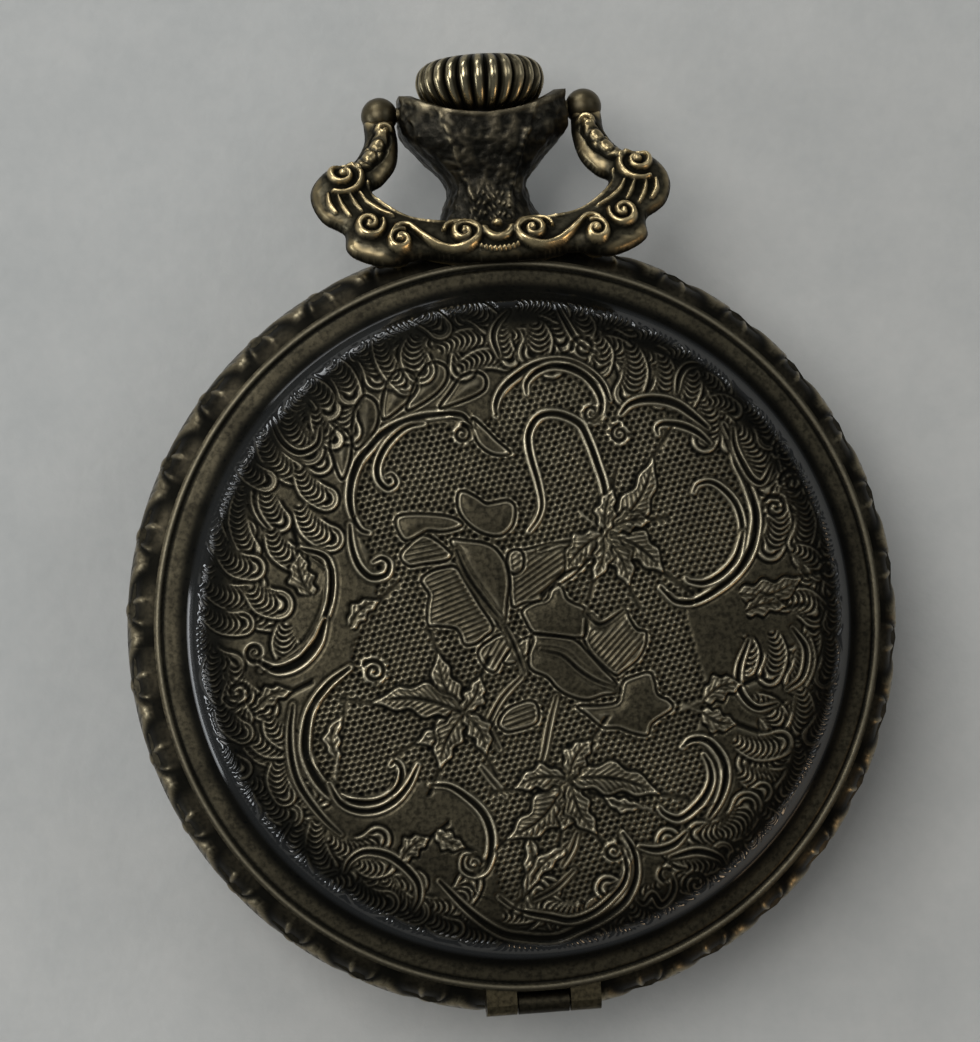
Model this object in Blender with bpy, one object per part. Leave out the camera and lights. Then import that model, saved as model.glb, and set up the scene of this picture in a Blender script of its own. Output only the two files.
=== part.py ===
"""Hunter-case fob watch with a keyless lever movement.

Units are metres.  +Z points out through the engraved front lid, +Y to the pendant.
The origin is the middle of the flat land that the back cover rests on.
The movement is laid out first, and the case is built outward around it.
"""

import math

import bmesh
import bpy
from mathutils import Matrix

# Fits
RUN_FIT = 0.00006
SEAT_FIT = 0.0001
PLATE_FIT = 0.0002
END_SHAKE = 0.00005

# Going train: tooth counts and modules
BARREL_TEETH = 60
CENTRE_LEAVES = 10
BARREL_MODULE = 0.00024
CENTRE_TEETH = 48
THIRD_LEAVES = 6
CENTRE_MODULE = 0.000213
THIRD_TEETH = 45
FOURTH_LEAVES = 6
THIRD_MODULE = 0.00019
FOURTH_TEETH = 48
ESCAPE_LEAVES = 6
FOURTH_MODULE = 0.000159
ESCAPE_TEETH = 15
ESCAPE_RADIUS = 0.0022
ADDENDUM = 0.6
DEDENDUM = 1.15

# Going train: plan of the axes, seen from the dial side
BARREL_BEARING = 35.0
SECONDS_DISTANCE = 0.0086
ESCAPE_BEARING = -22.0
LEVER_BEARING = 25.0
PALLET_STANDOFF = 0.00054
FORK_REACH = 0.0025
STONE_GAP = 0.00025
IMPULSE_RADIUS = 0.00075
IMPULSE_PIN_RADIUS = 0.0001
BALANCE_RADIUS = 0.0050
BALANCE_RIM_WIDTH = 0.0006
BALANCE_ARM_WIDTH = 0.0007

# Winding and setting work
CROWN_WHEEL_TEETH = 18
RATCHET_TEETH = 36
CROWN_WHEEL_DISTANCE = 0.0092
WINDING_TEETH = 14
WINDING_MODULE = 0.00018
WINDING_PINION_LENGTH = 0.0010
CLUTCH_LAP = 0.0003
CLUTCH_RADIUS = 0.0012
CLUTCH_GROOVE_DEPTH = 0.00035
CLUTCH_GROOVE_WIDTH = 0.0005
CLUTCH_SHIFT = 0.0005
STEM_RADIUS = 0.00055
STEM_COLLAR_RADIUS = 0.00075
STEM_GROOVE_RADIUS = 0.00042
STEM_GROOVE_WIDTH = 0.0009
CROWN_PUSH = 0.0004
CROWN_PULL = 0.0010
LEVER_ARM = 0.00255
YOKE_ARM = 0.0034
LEVER_PIN_RADIUS = 0.0002

# Motion work
CANNON_LEAVES = 10
MINUTE_TEETH = 30
MINUTE_LEAVES = 8
HOUR_TEETH = 32
SETTING_TEETH = 12
MOTION_MODULE = 0.0002
CENTRE_ARBOR_RADIUS = 0.00035
TUBE_WALL = 0.0002

# Heights, from the case middle plane outward
COVER_HEIGHT = 0.0032
COVER_WALL = 0.0006
COVER_GAP = 0.0002
BAND_HEIGHT = 0.0062
PLATE_DROP = 0.0003
PLATE_THICK = 0.0010
SHELF_THICK = 0.0004
BARREL_HEIGHT = 0.0010
BARREL_TOOTH_THICK = 0.0004
BARREL_WALL = 0.00045
WINDING_WHEEL_THICK = 0.00035
WHEEL_THICK = 0.00025
WHEEL_GAP = 0.00025
TRAIN_GAP = 0.00055
BRIDGE_THICK = 0.0007
PALLET_COCK_THICK = 0.0003
BALANCE_THICK = 0.0006
HAIRSPRING_HEIGHT = 0.0002
MOTION_ROOM = 0.0009
MOTION_WHEEL_THICK = 0.0002
DIAL_THICK = 0.0004
HAND_THICK = 0.00012
HAND_GAP = 0.00013
BEZEL_HEIGHT = 0.0008
CRYSTAL_THICK = 0.0005
CRYSTAL_RISE = 0.0010

# Springs
HAIRSPRING_INNER = 0.0007
HAIRSPRING_PITCH = 0.00052
HAIRSPRING_TURNS = 5
HAIRSPRING_BLADE = 0.00008
MAINSPRING_INNER = 0.0017
MAINSPRING_PITCH = 0.00068
MAINSPRING_TURNS = 6
MAINSPRING_BLADE = 0.00014

# Pivots, posts and screws
PIVOT_RADIUS = 0.00014
ARBOR_RADIUS = 0.00025
BARREL_ARBOR_RADIUS = 0.0007
SCREW_SHANK_RADIUS = 0.0003
SCREW_HEAD_RADIUS = 0.0006
SCREW_HEAD_HEIGHT = 0.00035
CASE_SCREW_HEAD_RADIUS = 0.0009
DIAL_FOOT_RADIUS = 0.0004
DIAL_FOOT_INSET = 0.0029
COCK_FOOT_RADIUS = 0.0015
COCK_FOOT_INSET = 0.0008
PALLET_FOOT_RADIUS = 0.00085
CLICK_RADIUS = 0.0005
CLICK_TIP_RADIUS = 0.0002
CLICK_SPRING_STANDOFF = 0.0030
CLICK_SPRING_TIP_STANDOFF = 0.0014
BRIDGE_SPLIT_Y = -0.0017

# Case, built outward from the reach of the balance
REACH_ROOM = 0.00016
SHELF_LAP = 0.0010
BRIDGE_INSET = 0.0014
RIM_WALL = 0.0003
SPRING_CHANNEL = 0.0011
BAND_WALL = 0.0030
BAND_RELIEF = 0.00025
BAND_KNOTS = 32
BAND_SLOPE = 0.0012
COVER_STEP = 0.0015
BRIM_WIDTH = 0.0019
BRIM_EDGE = 0.0007
SHOULDER_WIDTH = 0.0021
SHOULDER_HEIGHT = 0.0025
REST_RADIUS = 0.0120
BEZEL_LAP = 0.0013
SPRING_BLADE = 0.0004
SPRING_DEPTH = 0.0015

# Cover hinges at six o'clock
KNUCKLE_RADIUS = 0.00065
SCROLL_HALF = 0.00045
SCROLL_RISE = 0.0002
SCROLL_SINK = 0.00015
KNUCKLE_GAP = 0.0002
HINGE_PIN_RADIUS = 0.0003
BAND_KNUCKLE_HALF = 0.0015
HINGE_HALF = 0.0034

# Pendant, crown and bow
STEM_BORE_RADIUS = 0.0010
PENDANT_BASE = 0.0031
PENDANT_NECK = 0.00235
PENDANT_EAR = 0.0050
PENDANT_NECK_RISE = 0.0032
PENDANT_EAR_RISE = 0.0061
PENDANT_TOP_RISE = 0.0090
PENDANT_DEPTH = 0.0029
SADDLE_DEPTH = 0.0014
CROWN_RADIUS = 0.0039
CROWN_HEIGHT = 0.0035
CROWN_RIBS = 26
CROWN_RIB_DEPTH = 0.00026
BOW_PIVOT_RISE = 0.0080
BOW_BALL_RADIUS = 0.0011
BOW_PEG_RADIUS = 0.0005
BOW_PEG_LENGTH = 0.0015
BOW_HALF_THICK = 0.00080
BOW_EDGE = 0.0003
BOW_TILT = 27.0
BOW_SIDE = 0.01075
BOW_DROP = 0.0104

# Facets
CASE_FACETS = 40
PLATE_FACETS = 32
SMALL_FACETS = 8
HOLE_FACETS = 8
PIVOT_FACETS = 6
MERGE = 1e-7
FILL_SCALE = 1000.0


def polar(radius, degrees, centre=(0.0, 0.0)):
    """Point at a bearing from a centre, in plan."""
    angle = math.radians(degrees)
    return centre[0] + radius * math.cos(angle), centre[1] + radius * math.sin(angle)


def bearing(start, end):
    """Bearing in degrees from one plan point to another."""
    return math.degrees(math.atan2(end[1] - start[1], end[0] - start[0]))


def mesh_distance(teeth, leaves, module):
    """Centre distance of a meshing pair."""
    return (teeth + leaves) * module / 2


def meet(first, first_radius, second, second_radius):
    """Left-hand crossing of two circles, for an axis that meshes with two others."""
    span = math.dist(first, second)
    along = (span ** 2 + first_radius ** 2 - second_radius ** 2) / (2 * span)
    across = math.sqrt(first_radius ** 2 - along ** 2)
    unit = ((second[0] - first[0]) / span, (second[1] - first[1]) / span)
    return (first[0] + unit[0] * along + unit[1] * across,
            first[1] + unit[1] * along - unit[0] * across)


# Plan of the axes
CENTRE_AT = (0.0, 0.0)
BARREL_AT = polar(mesh_distance(BARREL_TEETH, CENTRE_LEAVES, BARREL_MODULE), BARREL_BEARING)
FOURTH_AT = (0.0, -SECONDS_DISTANCE)
THIRD_AT = meet(CENTRE_AT, mesh_distance(CENTRE_TEETH, THIRD_LEAVES, CENTRE_MODULE),
                FOURTH_AT, mesh_distance(THIRD_TEETH, FOURTH_LEAVES, THIRD_MODULE))
ESCAPE_AT = polar(mesh_distance(FOURTH_TEETH, ESCAPE_LEAVES, FOURTH_MODULE), ESCAPE_BEARING, FOURTH_AT)
PALLET_DISTANCE = ESCAPE_RADIUS + PALLET_STANDOFF
PALLET_AT = polar(PALLET_DISTANCE, LEVER_BEARING, ESCAPE_AT)
BALANCE_DISTANCE = FORK_REACH + SEAT_FIT + IMPULSE_PIN_RADIUS + IMPULSE_RADIUS
BALANCE_AT = polar(BALANCE_DISTANCE, LEVER_BEARING, PALLET_AT)
MINUTE_AT = (0.0, mesh_distance(MINUTE_TEETH, CANNON_LEAVES, MOTION_MODULE))
SETTING_AT = (0.0, MINUTE_AT[1] + mesh_distance(MINUTE_TEETH, SETTING_TEETH, MOTION_MODULE))
CROWN_WHEEL_AT = (0.0, CROWN_WHEEL_DISTANCE)
RATCHET_MODULE = 2 * math.dist(CROWN_WHEEL_AT, BARREL_AT) / (CROWN_WHEEL_TEETH + RATCHET_TEETH)
RATCHET_TIP = (RATCHET_TEETH / 2 + ADDENDUM) * RATCHET_MODULE

# Radii of the case
REACH = max(math.hypot(*BALANCE_AT) + BALANCE_RADIUS,
            math.hypot(*BARREL_AT) + (BARREL_TEETH / 2 + ADDENDUM) * BARREL_MODULE)
SHELF_RADIUS = REACH + REACH_ROOM
BRIDGE_RADIUS = SHELF_RADIUS - BRIDGE_INSET
PLATE_RADIUS = SHELF_RADIUS + SHELF_LAP
RIM_INNER = PLATE_RADIUS + PLATE_FIT
RIM_OUTER = RIM_INNER + RIM_WALL
BORE_RADIUS = RIM_OUTER + SPRING_CHANNEL
CASE_RADIUS = BORE_RADIUS + BAND_WALL
COVER_RADIUS = CASE_RADIUS - COVER_STEP
SHOULDER_RADIUS = COVER_RADIUS - BRIM_WIDTH
CROWN_FIELD_RADIUS = SHOULDER_RADIUS - SHOULDER_WIDTH

# Heights of the case
BAND_LOW = COVER_HEIGHT + COVER_GAP
BAND_HIGH = BAND_LOW + BAND_HEIGHT
LID_LOW = BAND_HIGH + COVER_GAP
LID_HIGH = LID_LOW + COVER_HEIGHT
STEM_Z = (BAND_LOW + BAND_HIGH) / 2

# Heights of the movement, down from the plate to the back
PLATE_LOW = STEM_Z - PLATE_DROP
PLATE_HIGH = PLATE_LOW + PLATE_THICK
SHELF_HIGH = PLATE_LOW - PLATE_FIT
SHELF_LOW = SHELF_HIGH - SHELF_THICK
BARREL_HIGH = PLATE_LOW - SEAT_FIT
BARREL_LOW = BARREL_HIGH - BARREL_HEIGHT
RATCHET_HIGH = BARREL_LOW - SEAT_FIT
RATCHET_LOW = RATCHET_HIGH - WINDING_WHEEL_THICK
CENTRE_HIGH = RATCHET_LOW - WHEEL_GAP
CENTRE_LOW = CENTRE_HIGH - WHEEL_THICK
BRIDGE_HIGH = CENTRE_LOW - WHEEL_GAP
BRIDGE_LOW = BRIDGE_HIGH - BRIDGE_THICK
THIRD_LOW = CENTRE_HIGH + TRAIN_GAP
THIRD_HIGH = THIRD_LOW + WHEEL_THICK
FOURTH_LOW = THIRD_HIGH + WHEEL_GAP
FOURTH_HIGH = FOURTH_LOW + WHEEL_THICK
PALLET_COCK_HIGH = THIRD_LOW - PLATE_FIT
PALLET_COCK_LOW = PALLET_COCK_HIGH - PALLET_COCK_THICK
BALANCE_HIGH = PALLET_COCK_LOW - SEAT_FIT
BALANCE_LOW = BALANCE_HIGH - BALANCE_THICK
HAIRSPRING_HIGH = BALANCE_LOW - PLATE_FIT
HAIRSPRING_LOW = HAIRSPRING_HIGH - HAIRSPRING_HEIGHT
COCK_HIGH = HAIRSPRING_LOW - PLATE_FIT
COCK_LOW = COCK_HIGH - BRIDGE_THICK

# Heights of the movement, up from the plate to the crystal
MOTION_LOW = PLATE_HIGH + SEAT_FIT
MOTION_HIGH = MOTION_LOW + MOTION_WHEEL_THICK
HOUR_LOW = MOTION_HIGH + SEAT_FIT
HOUR_HIGH = HOUR_LOW + MOTION_WHEEL_THICK
DIAL_LOW = PLATE_HIGH + MOTION_ROOM
DIAL_HIGH = DIAL_LOW + DIAL_THICK
SECONDS_LOW = DIAL_HIGH + SEAT_FIT
HOUR_HAND_LOW = SECONDS_LOW + HAND_THICK + HAND_GAP
MINUTE_HAND_LOW = HOUR_HAND_LOW + HAND_THICK + HAND_GAP
BEZEL_LOW = DIAL_HIGH + SEAT_FIT + END_SHAKE
BEZEL_HIGH = BEZEL_LOW + BEZEL_HEIGHT
CRYSTAL_LOW = BEZEL_HIGH + END_SHAKE


def material(name, colour, roughness, metallic):
    """Principled material with one colour."""
    result = bpy.data.materials.new(name)
    result.use_nodes = True
    shader = result.node_tree.nodes["Principled BSDF"]
    shader.inputs["Base Color"].default_value = (*colour, 1.0)
    shader.inputs["Roughness"].default_value = roughness
    shader.inputs["Metallic"].default_value = metallic
    return result


def node(name, bm, finish, at=(0.0, 0.0, 0.0), turn=(0.0, 0.0, 0.0)):
    """Put a finished bmesh into the scene as one named, smooth-shaded object."""
    mesh = bpy.data.meshes.new(name)
    bm.to_mesh(mesh)
    bm.free()
    mesh.shade_smooth()
    mesh.set_sharp_from_angle(angle=math.radians(32))
    mesh.materials.append(finish)
    result = bpy.data.objects.new(name, mesh)
    result.location = at
    result.rotation_euler = turn
    bpy.context.scene.collection.objects.link(result)
    return result


def face_out(bm):
    """Merge seams and turn every face outward."""
    bmesh.ops.remove_doubles(bm, verts=bm.verts[:], dist=MERGE)
    bmesh.ops.recalc_face_normals(bm, faces=bm.faces[:])
    return bm


def turned(profile, facets, ring=False):
    """Revolve an (r, z) profile about Z.  A ring profile closes on itself."""
    bm = bmesh.new()
    verts = [bm.verts.new((radius, 0.0, height)) for radius, height in profile]
    pairs = list(zip(verts, verts[1:]))
    if ring:
        pairs.append((verts[-1], verts[0]))
    edges = [bm.edges.new(pair) for pair in pairs]
    bmesh.ops.spin(bm, geom=verts + edges, cent=(0, 0, 0), axis=(0, 0, 1), dvec=(0, 0, 0),
                   angle=math.tau, steps=facets, use_merge=True)
    return face_out(bm)


def rod(radius, low, high, facets=SMALL_FACETS):
    """Round rod about Z."""
    return turned([(0.0, low), (radius, low), (radius, high), (0.0, high)], facets)


def tube(inner, outer, low, high, facets):
    """Round tube about Z."""
    return turned([(inner, low), (outer, low), (outer, high), (inner, high)], facets, ring=True)


def prism(outline, low, high, holes=()):
    """Extrude a plan outline with holes from one height to another."""
    bm = bmesh.new()
    edges = []
    for loop in (outline, *holes):
        verts = [bm.verts.new((x * FILL_SCALE, y * FILL_SCALE, 0.0)) for x, y in loop]
        edges += [bm.edges.new(pair) for pair in zip(verts, verts[1:] + verts[:1])]
    filled = bmesh.ops.triangle_fill(bm, edges=edges, use_beauty=True, normal=(0, 0, 1))
    faces = [item for item in filled["geom"] if isinstance(item, bmesh.types.BMFace)]
    grown = bmesh.ops.extrude_face_region(bm, geom=faces)
    top = [item for item in grown["geom"] if isinstance(item, bmesh.types.BMVert)]
    bmesh.ops.translate(bm, verts=top, vec=(0.0, 0.0, (high - low) * FILL_SCALE))
    bmesh.ops.scale(bm, verts=bm.verts[:], vec=[1 / FILL_SCALE] * 3)
    bmesh.ops.translate(bm, verts=bm.verts[:], vec=(0.0, 0.0, low))
    bmesh.ops.recalc_face_normals(bm, faces=bm.faces[:])
    return bm


def loft(rings):
    """Skin a row of equal rings of points and cap both ends."""
    bm = bmesh.new()
    rows = [[bm.verts.new(point) for point in ring] for ring in rings]
    count = len(rows[0])
    for row, following in zip(rows, rows[1:]):
        for index in range(count):
            after = (index + 1) % count
            bm.faces.new((row[index], row[after], following[after], following[index]))
    bm.faces.new(rows[0])
    bm.faces.new(rows[-1])
    bmesh.ops.recalc_face_normals(bm, faces=bm.faces[:])
    return bm


def box(low, high):
    """Axis-aligned block between two corners."""
    bm = bmesh.new()
    bmesh.ops.create_cube(bm, size=1.0)
    size = [top - bottom for bottom, top in zip(low, high)]
    middle = [(top + bottom) / 2 for bottom, top in zip(low, high)]
    bmesh.ops.scale(bm, verts=bm.verts[:], vec=size)
    bmesh.ops.translate(bm, verts=bm.verts[:], vec=middle)
    return bm


def moved(bm, offset=(0.0, 0.0, 0.0), turn=None):
    """Turn, then shift, a bmesh."""
    matrix = Matrix.Translation(offset)
    if turn:
        matrix = matrix @ Matrix.Rotation(math.radians(turn[1]), 4, turn[0])
    bmesh.ops.transform(bm, matrix=matrix, verts=bm.verts[:])
    return bm


def along_x(bm, offset):
    """Lay a piece made about Z along X."""
    return moved(bm, offset, ("Y", 90.0))


def along_y(bm, offset):
    """Lay a piece made about Z along Y."""
    return moved(bm, offset, ("X", -90.0))


def boolean(base, tool, operation):
    """Unite two solids, or cut one by the other, and return the result."""
    objects = []
    for bm in (base, tool):
        mesh = bpy.data.meshes.new("working")
        bm.to_mesh(mesh)
        bm.free()
        item = bpy.data.objects.new("working", mesh)
        bpy.context.scene.collection.objects.link(item)
        objects.append(item)
    modifier = objects[0].modifiers.new("combine", "BOOLEAN")
    modifier.operation = operation
    modifier.object = objects[1]
    result = bmesh.new()
    result.from_object(objects[0], bpy.context.evaluated_depsgraph_get())
    for item in objects:
        mesh = item.data
        bpy.data.objects.remove(item)
        bpy.data.meshes.remove(mesh)
    bmesh.ops.remove_doubles(result, verts=result.verts[:], dist=MERGE)
    bmesh.ops.dissolve_degenerate(result, edges=result.edges[:], dist=MERGE)
    return result


def united(base, *tools):
    """Union of overlapping solids as one body."""
    for tool in tools:
        base = boolean(base, tool, "UNION")
    return base


def cut(base, *tools):
    """Solid with the tools taken out."""
    for tool in tools:
        base = boolean(base, tool, "DIFFERENCE")
    return base


def circle(radius, centre=(0.0, 0.0), facets=HOLE_FACETS):
    """Closed round outline."""
    return [polar(radius, 360.0 * step / facets, centre) for step in range(facets)]


def arc(radius, start, end, steps, centre=(0.0, 0.0)):
    """Open arc of steps + 1 points."""
    return [polar(radius, start + (end - start) * step / steps, centre) for step in range(steps + 1)]


def sector(inner, outer, start, end, steps):
    """Closed outline of a ring sector."""
    return arc(outer, start, end, steps) + arc(inner, end, start, steps)


def capsule(first, first_radius, second, second_radius, steps=4):
    """Closed outline drawn round two circles."""
    heading = bearing(first, second)
    spread = math.degrees(math.acos((first_radius - second_radius) / math.dist(first, second)))
    return (arc(second_radius, heading - spread, heading + spread, steps, second)
            + arc(first_radius, heading + spread, heading + 360.0 - spread, steps, first))


def gear(teeth, module, tooth_at=0.0):
    """Toothed outline with a tooth on the given bearing."""
    pitch = teeth * module / 2
    step = 360.0 / teeth
    outline = []
    for index in range(teeth):
        outline.append(polar(pitch + ADDENDUM * module, tooth_at + index * step))
        outline.append(polar(pitch - DEDENDUM * module, tooth_at + (index + 0.5) * step))
    return outline


def pinion(leaves, module, gap_at, low, high, hole=None):
    """Pinion with a space on the given bearing."""
    holes = [circle(hole)] if hole else []
    return prism(gear(leaves, module, gap_at + 180.0 / leaves), low, high, holes)


def crossings(inner, outer, count, arm):
    """Openings between the arms of a wheel."""
    openings = []
    for index in range(count):
        middle = 360.0 * (index + 0.5) / count
        wide = 180.0 / count - math.degrees(arm / outer)
        narrow = 180.0 / count - math.degrees(arm / inner)
        openings.append(arc(outer, middle - wide, middle + wide, 3)
                        + arc(inner, middle + narrow, middle - narrow, 1))
    return openings


def stepped_arbor(steps, facets=PIVOT_FACETS):
    """Turned arbor from (radius, low, high) steps in rising order."""
    profile = [(0.0, steps[0][1])]
    for radius, low, high in steps:
        profile += [(radius, low), (radius, high)]
    profile.append((0.0, steps[-1][2]))
    return turned(profile, facets)


# Case


def band_profile():
    """Section of the case middle: bulged wall, spring channel, rim and movement shelf."""
    bulge = CASE_RADIUS - BAND_RELIEF
    return [(BORE_RADIUS, BAND_LOW), (COVER_RADIUS, BAND_LOW),
            (bulge, BAND_LOW + BAND_SLOPE), (bulge, BAND_HIGH - BAND_SLOPE),
            (COVER_RADIUS, BAND_HIGH), (BORE_RADIUS, BAND_HIGH),
            (BORE_RADIUS, SHELF_HIGH), (RIM_OUTER, SHELF_HIGH),
            (RIM_OUTER, DIAL_HIGH + SEAT_FIT), (RIM_INNER, DIAL_HIGH + SEAT_FIT),
            (RIM_INNER, SHELF_HIGH), (SHELF_RADIUS, SHELF_HIGH),
            (SHELF_RADIUS, SHELF_LOW), (BORE_RADIUS, SHELF_LOW)]


def knotted_ring():
    """Case middle with a raised knot at every second facet of its bulge."""
    bm = turned(band_profile(), 2 * BAND_KNOTS, ring=True)
    bulge = CASE_RADIUS - BAND_RELIEF
    for vert in bm.verts:
        radius = math.hypot(vert.co.x, vert.co.y)
        facet = math.atan2(vert.co.y, vert.co.x) * BAND_KNOTS / math.pi
        if radius > bulge - MERGE and round(facet) % 2:
            vert.co.x *= CASE_RADIUS / bulge
            vert.co.y *= CASE_RADIUS / bulge
    return bm


HINGE_Y = -(COVER_RADIUS + KNUCKLE_RADIUS + KNUCKLE_GAP)
FRONT_HINGE_Z = (BAND_HIGH + LID_LOW) / 2
BACK_HINGE_Z = (BAND_LOW + COVER_HEIGHT) / 2
PIN_HOLE_RADIUS = HINGE_PIN_RADIUS + RUN_FIT


def knuckle(low, high, height):
    """Hinge knuckle between two places along X."""
    return along_x(rod(KNUCKLE_RADIUS, low, high, 12), (0.0, HINGE_Y, height))


def pin_hole(height):
    """Cutter for a hinge pin's hole."""
    length = HINGE_HALF + SEAT_FIT
    return along_x(rod(PIN_HOLE_RADIUS, -length, length), (0.0, HINGE_Y, height))


def band_hinge(bm, height, side):
    """Relieve the case middle for one cover's hinge and add its middle knuckle."""
    relief = KNUCKLE_RADIUS + SEAT_FIT
    reach = HINGE_HALF + SEAT_FIT
    bm = cut(bm, along_x(rod(relief, -reach, reach, 12), (0.0, HINGE_Y, height)))
    half = BAND_KNUCKLE_HALF
    root = height - side * (COVER_GAP / 2)
    low, high = sorted((root, root - side * 1.6 * KNUCKLE_RADIUS))
    web = box((-half, HINGE_Y, low), (half, HINGE_Y + 1.4 * KNUCKLE_RADIUS, high))
    return cut(united(bm, web, knuckle(-half, half, height)), pin_hole(height))


def case_band(finish):
    """Case middle with its hinge knuckles and the bore for the winding stem."""
    bm = knotted_ring()
    bm = band_hinge(bm, FRONT_HINGE_Z, 1)
    bm = band_hinge(bm, BACK_HINGE_Z, -1)
    bore = along_y(rod(STEM_BORE_RADIUS, 0.0, CASE_RADIUS - SHELF_RADIUS + 2 * SHELF_LAP),
                   (0.0, SHELF_RADIUS - SHELF_LAP, STEM_Z))
    node("case_band", cut(bm, bore), finish)


def cover_profile(crown):
    """Section of a cover, rim edge at height 0: brim, shoulder, then its crown points."""
    outer = [(COVER_RADIUS, 0.0), (COVER_RADIUS, BRIM_EDGE),
             (SHOULDER_RADIUS, BRIM_EDGE + COVER_GAP),
             (SHOULDER_RADIUS - 0.3 * SHOULDER_WIDTH, BRIM_EDGE + 0.55 * (SHOULDER_HEIGHT - BRIM_EDGE)),
             (CROWN_FIELD_RADIUS, SHOULDER_HEIGHT), *crown]
    wall = COVER_WALL
    inner = [(0.0, COVER_HEIGHT - wall), (REST_RADIUS, crown[0][1] - wall),
             (CROWN_FIELD_RADIUS - 0.5 * wall, SHOULDER_HEIGHT - wall),
             (SHOULDER_RADIUS - 0.6 * wall, BRIM_EDGE + COVER_GAP - 0.8 * wall),
             (COVER_RADIUS - wall, BRIM_EDGE - 0.8 * wall), (COVER_RADIUS - wall, 0.0)]
    return outer[::-1] + inner[::-1]


def cover(crown, hinge_z, lift, flip):
    """Cover with two hinge knuckles, modelled about its hinge axis."""
    bm = turned(cover_profile(crown), CASE_FACETS)
    if flip:
        bmesh.ops.rotate(bm, verts=bm.verts[:], matrix=Matrix.Rotation(math.pi, 3, "Y"))
    moved(bm, (0.0, 0.0, lift))
    side = -1 if flip else 1
    inner = BAND_KNUCKLE_HALF + SEAT_FIT
    low, high = sorted((lift, lift + side * 0.85 * KNUCKLE_RADIUS))
    for start, end in ((-HINGE_HALF, -inner), (inner, HINGE_HALF)):
        web = box((start, HINGE_Y, low), (end, -(COVER_RADIUS - 0.75 * COVER_WALL), high))
        bm = united(bm, web, knuckle(start, end, hinge_z))
    bm = cut(bm, pin_hole(hinge_z))
    return moved(bm, (0.0, -HINGE_Y, -hinge_z))


LID_CROWN = [(REST_RADIUS, 0.95 * COVER_HEIGHT), (REST_RADIUS / 2, 0.99 * COVER_HEIGHT), (0.0, COVER_HEIGHT)]
LID_SCROLLS = [
    [(-0.14, 0.67), (-0.23, 0.72), (-0.37, 0.69), (-0.49, 0.62), (-0.55, 0.50), (-0.55, 0.39)],
    [(-0.06, 0.70), (-0.03, 0.78), (0.07, 0.85), (0.20, 0.86), (0.30, 0.79), (0.33, 0.72)],
    [(0.71, 0.63), (0.75, 0.50), (0.79, 0.38), (0.79, 0.25), (0.71, 0.12), (0.57, 0.04), (0.48, 0.08)],
    [(-0.59, -0.11), (-0.73, -0.23), (-0.75, -0.40), (-0.65, -0.54), (-0.49, -0.54), (-0.45, -0.45)],
    [(0.28, -0.70), (0.31, -0.80), (0.25, -0.89), (0.11, -0.95), (-0.08, -0.95), (-0.24, -0.87)],
    [(0.50, -0.44), (0.58, -0.42), (0.64, -0.51), (0.61, -0.63), (0.52, -0.66)],
    [(-0.74, 0.30), (-0.65, 0.22), (-0.66, 0.09), (-0.76, -0.06), (-0.89, -0.10)]]


def lid_height(radius):
    """Height of the lid's field above its rim edge, along the straight runs of its section."""
    runs = [(CROWN_FIELD_RADIUS, SHOULDER_HEIGHT), *LID_CROWN]
    for (outer, low), (inner, high) in zip(runs, runs[1:]):
        if radius >= inner:
            return low + (high - low) * (outer - radius) / (outer - inner)
    return runs[-1][1]


def scroll_rib(shares):
    """Raised scroll on the lid's field, thin at its ends, through points in shares of the field's radius."""
    points = [(x * CROWN_FIELD_RADIUS, y * CROWN_FIELD_RADIUS) for x, y in shares]
    rings = []
    for index, (x, y) in enumerate(points):
        before, after = points[max(index - 1, 0)], points[min(index + 1, len(points) - 1)]
        along = math.atan2(after[1] - before[1], after[0] - before[0])
        half = SCROLL_HALF * (1.0 if 0 < index < len(points) - 1 else 0.5)
        sideways = (-half * math.sin(along), half * math.cos(along))
        base = LID_LOW + lid_height(math.hypot(x, y))
        rings.append([(x - sideways[0], y - sideways[1], base - SCROLL_SINK), (x, y, base + SCROLL_RISE),
                      (x + sideways[0], y + sideways[1], base - SCROLL_SINK)])
    return moved(loft(rings), (0.0, -HINGE_Y, -FRONT_HINGE_Z))


def front_lid(finish):
    """Hunter lid: brim, dark shoulder and a slightly crowned field with its main scrolls raised."""
    bm = cover(LID_CROWN, FRONT_HINGE_Z, LID_LOW, False)
    bm = united(bm, *[scroll_rib(shares) for shares in LID_SCROLLS])
    node("front_lid", bm, finish, (0.0, HINGE_Y, FRONT_HINGE_Z))


def back_cover(finish):
    """Back cover: the same section with a flat land to rest on."""
    bm = cover([(REST_RADIUS, COVER_HEIGHT), (0.0, COVER_HEIGHT)], BACK_HINGE_Z, COVER_HEIGHT, True)
    node("back_cover", bm, finish, (0.0, HINGE_Y, BACK_HINGE_Z))


def hinge_pins(finish):
    """Pins of both cover hinges."""
    for name, height in (("front_hinge_pin", FRONT_HINGE_Z), ("back_hinge_pin", BACK_HINGE_Z)):
        bm = along_x(rod(HINGE_PIN_RADIUS, -HINGE_HALF, HINGE_HALF), (0.0, 0.0, 0.0))
        node(name, bm, finish, (0.0, HINGE_Y, height))


def case_springs(finish):
    """Lift spring at the hinge and lock spring at the pendant, in the band's channel."""
    inner = (RIM_OUTER + BORE_RADIUS - SPRING_BLADE) / 2
    high = BAND_HIGH - 3 * COVER_GAP
    low = high - SPRING_DEPTH
    blade = inner + SPRING_BLADE
    node("lid_spring", prism(sector(inner, blade, -130.0, -50.0, 8), low, high), finish)
    nose = prism(sector(inner + SEAT_FIT / 2, blade + SEAT_FIT, 87.0, 93.0, 2), high - SPRING_DEPTH / 4,
                 LID_LOW + COVER_GAP)
    lock = united(prism(sector(inner, blade, 58.0, 122.0, 6), low, high), nose)
    node("lock_spring", lock, finish)


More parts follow.
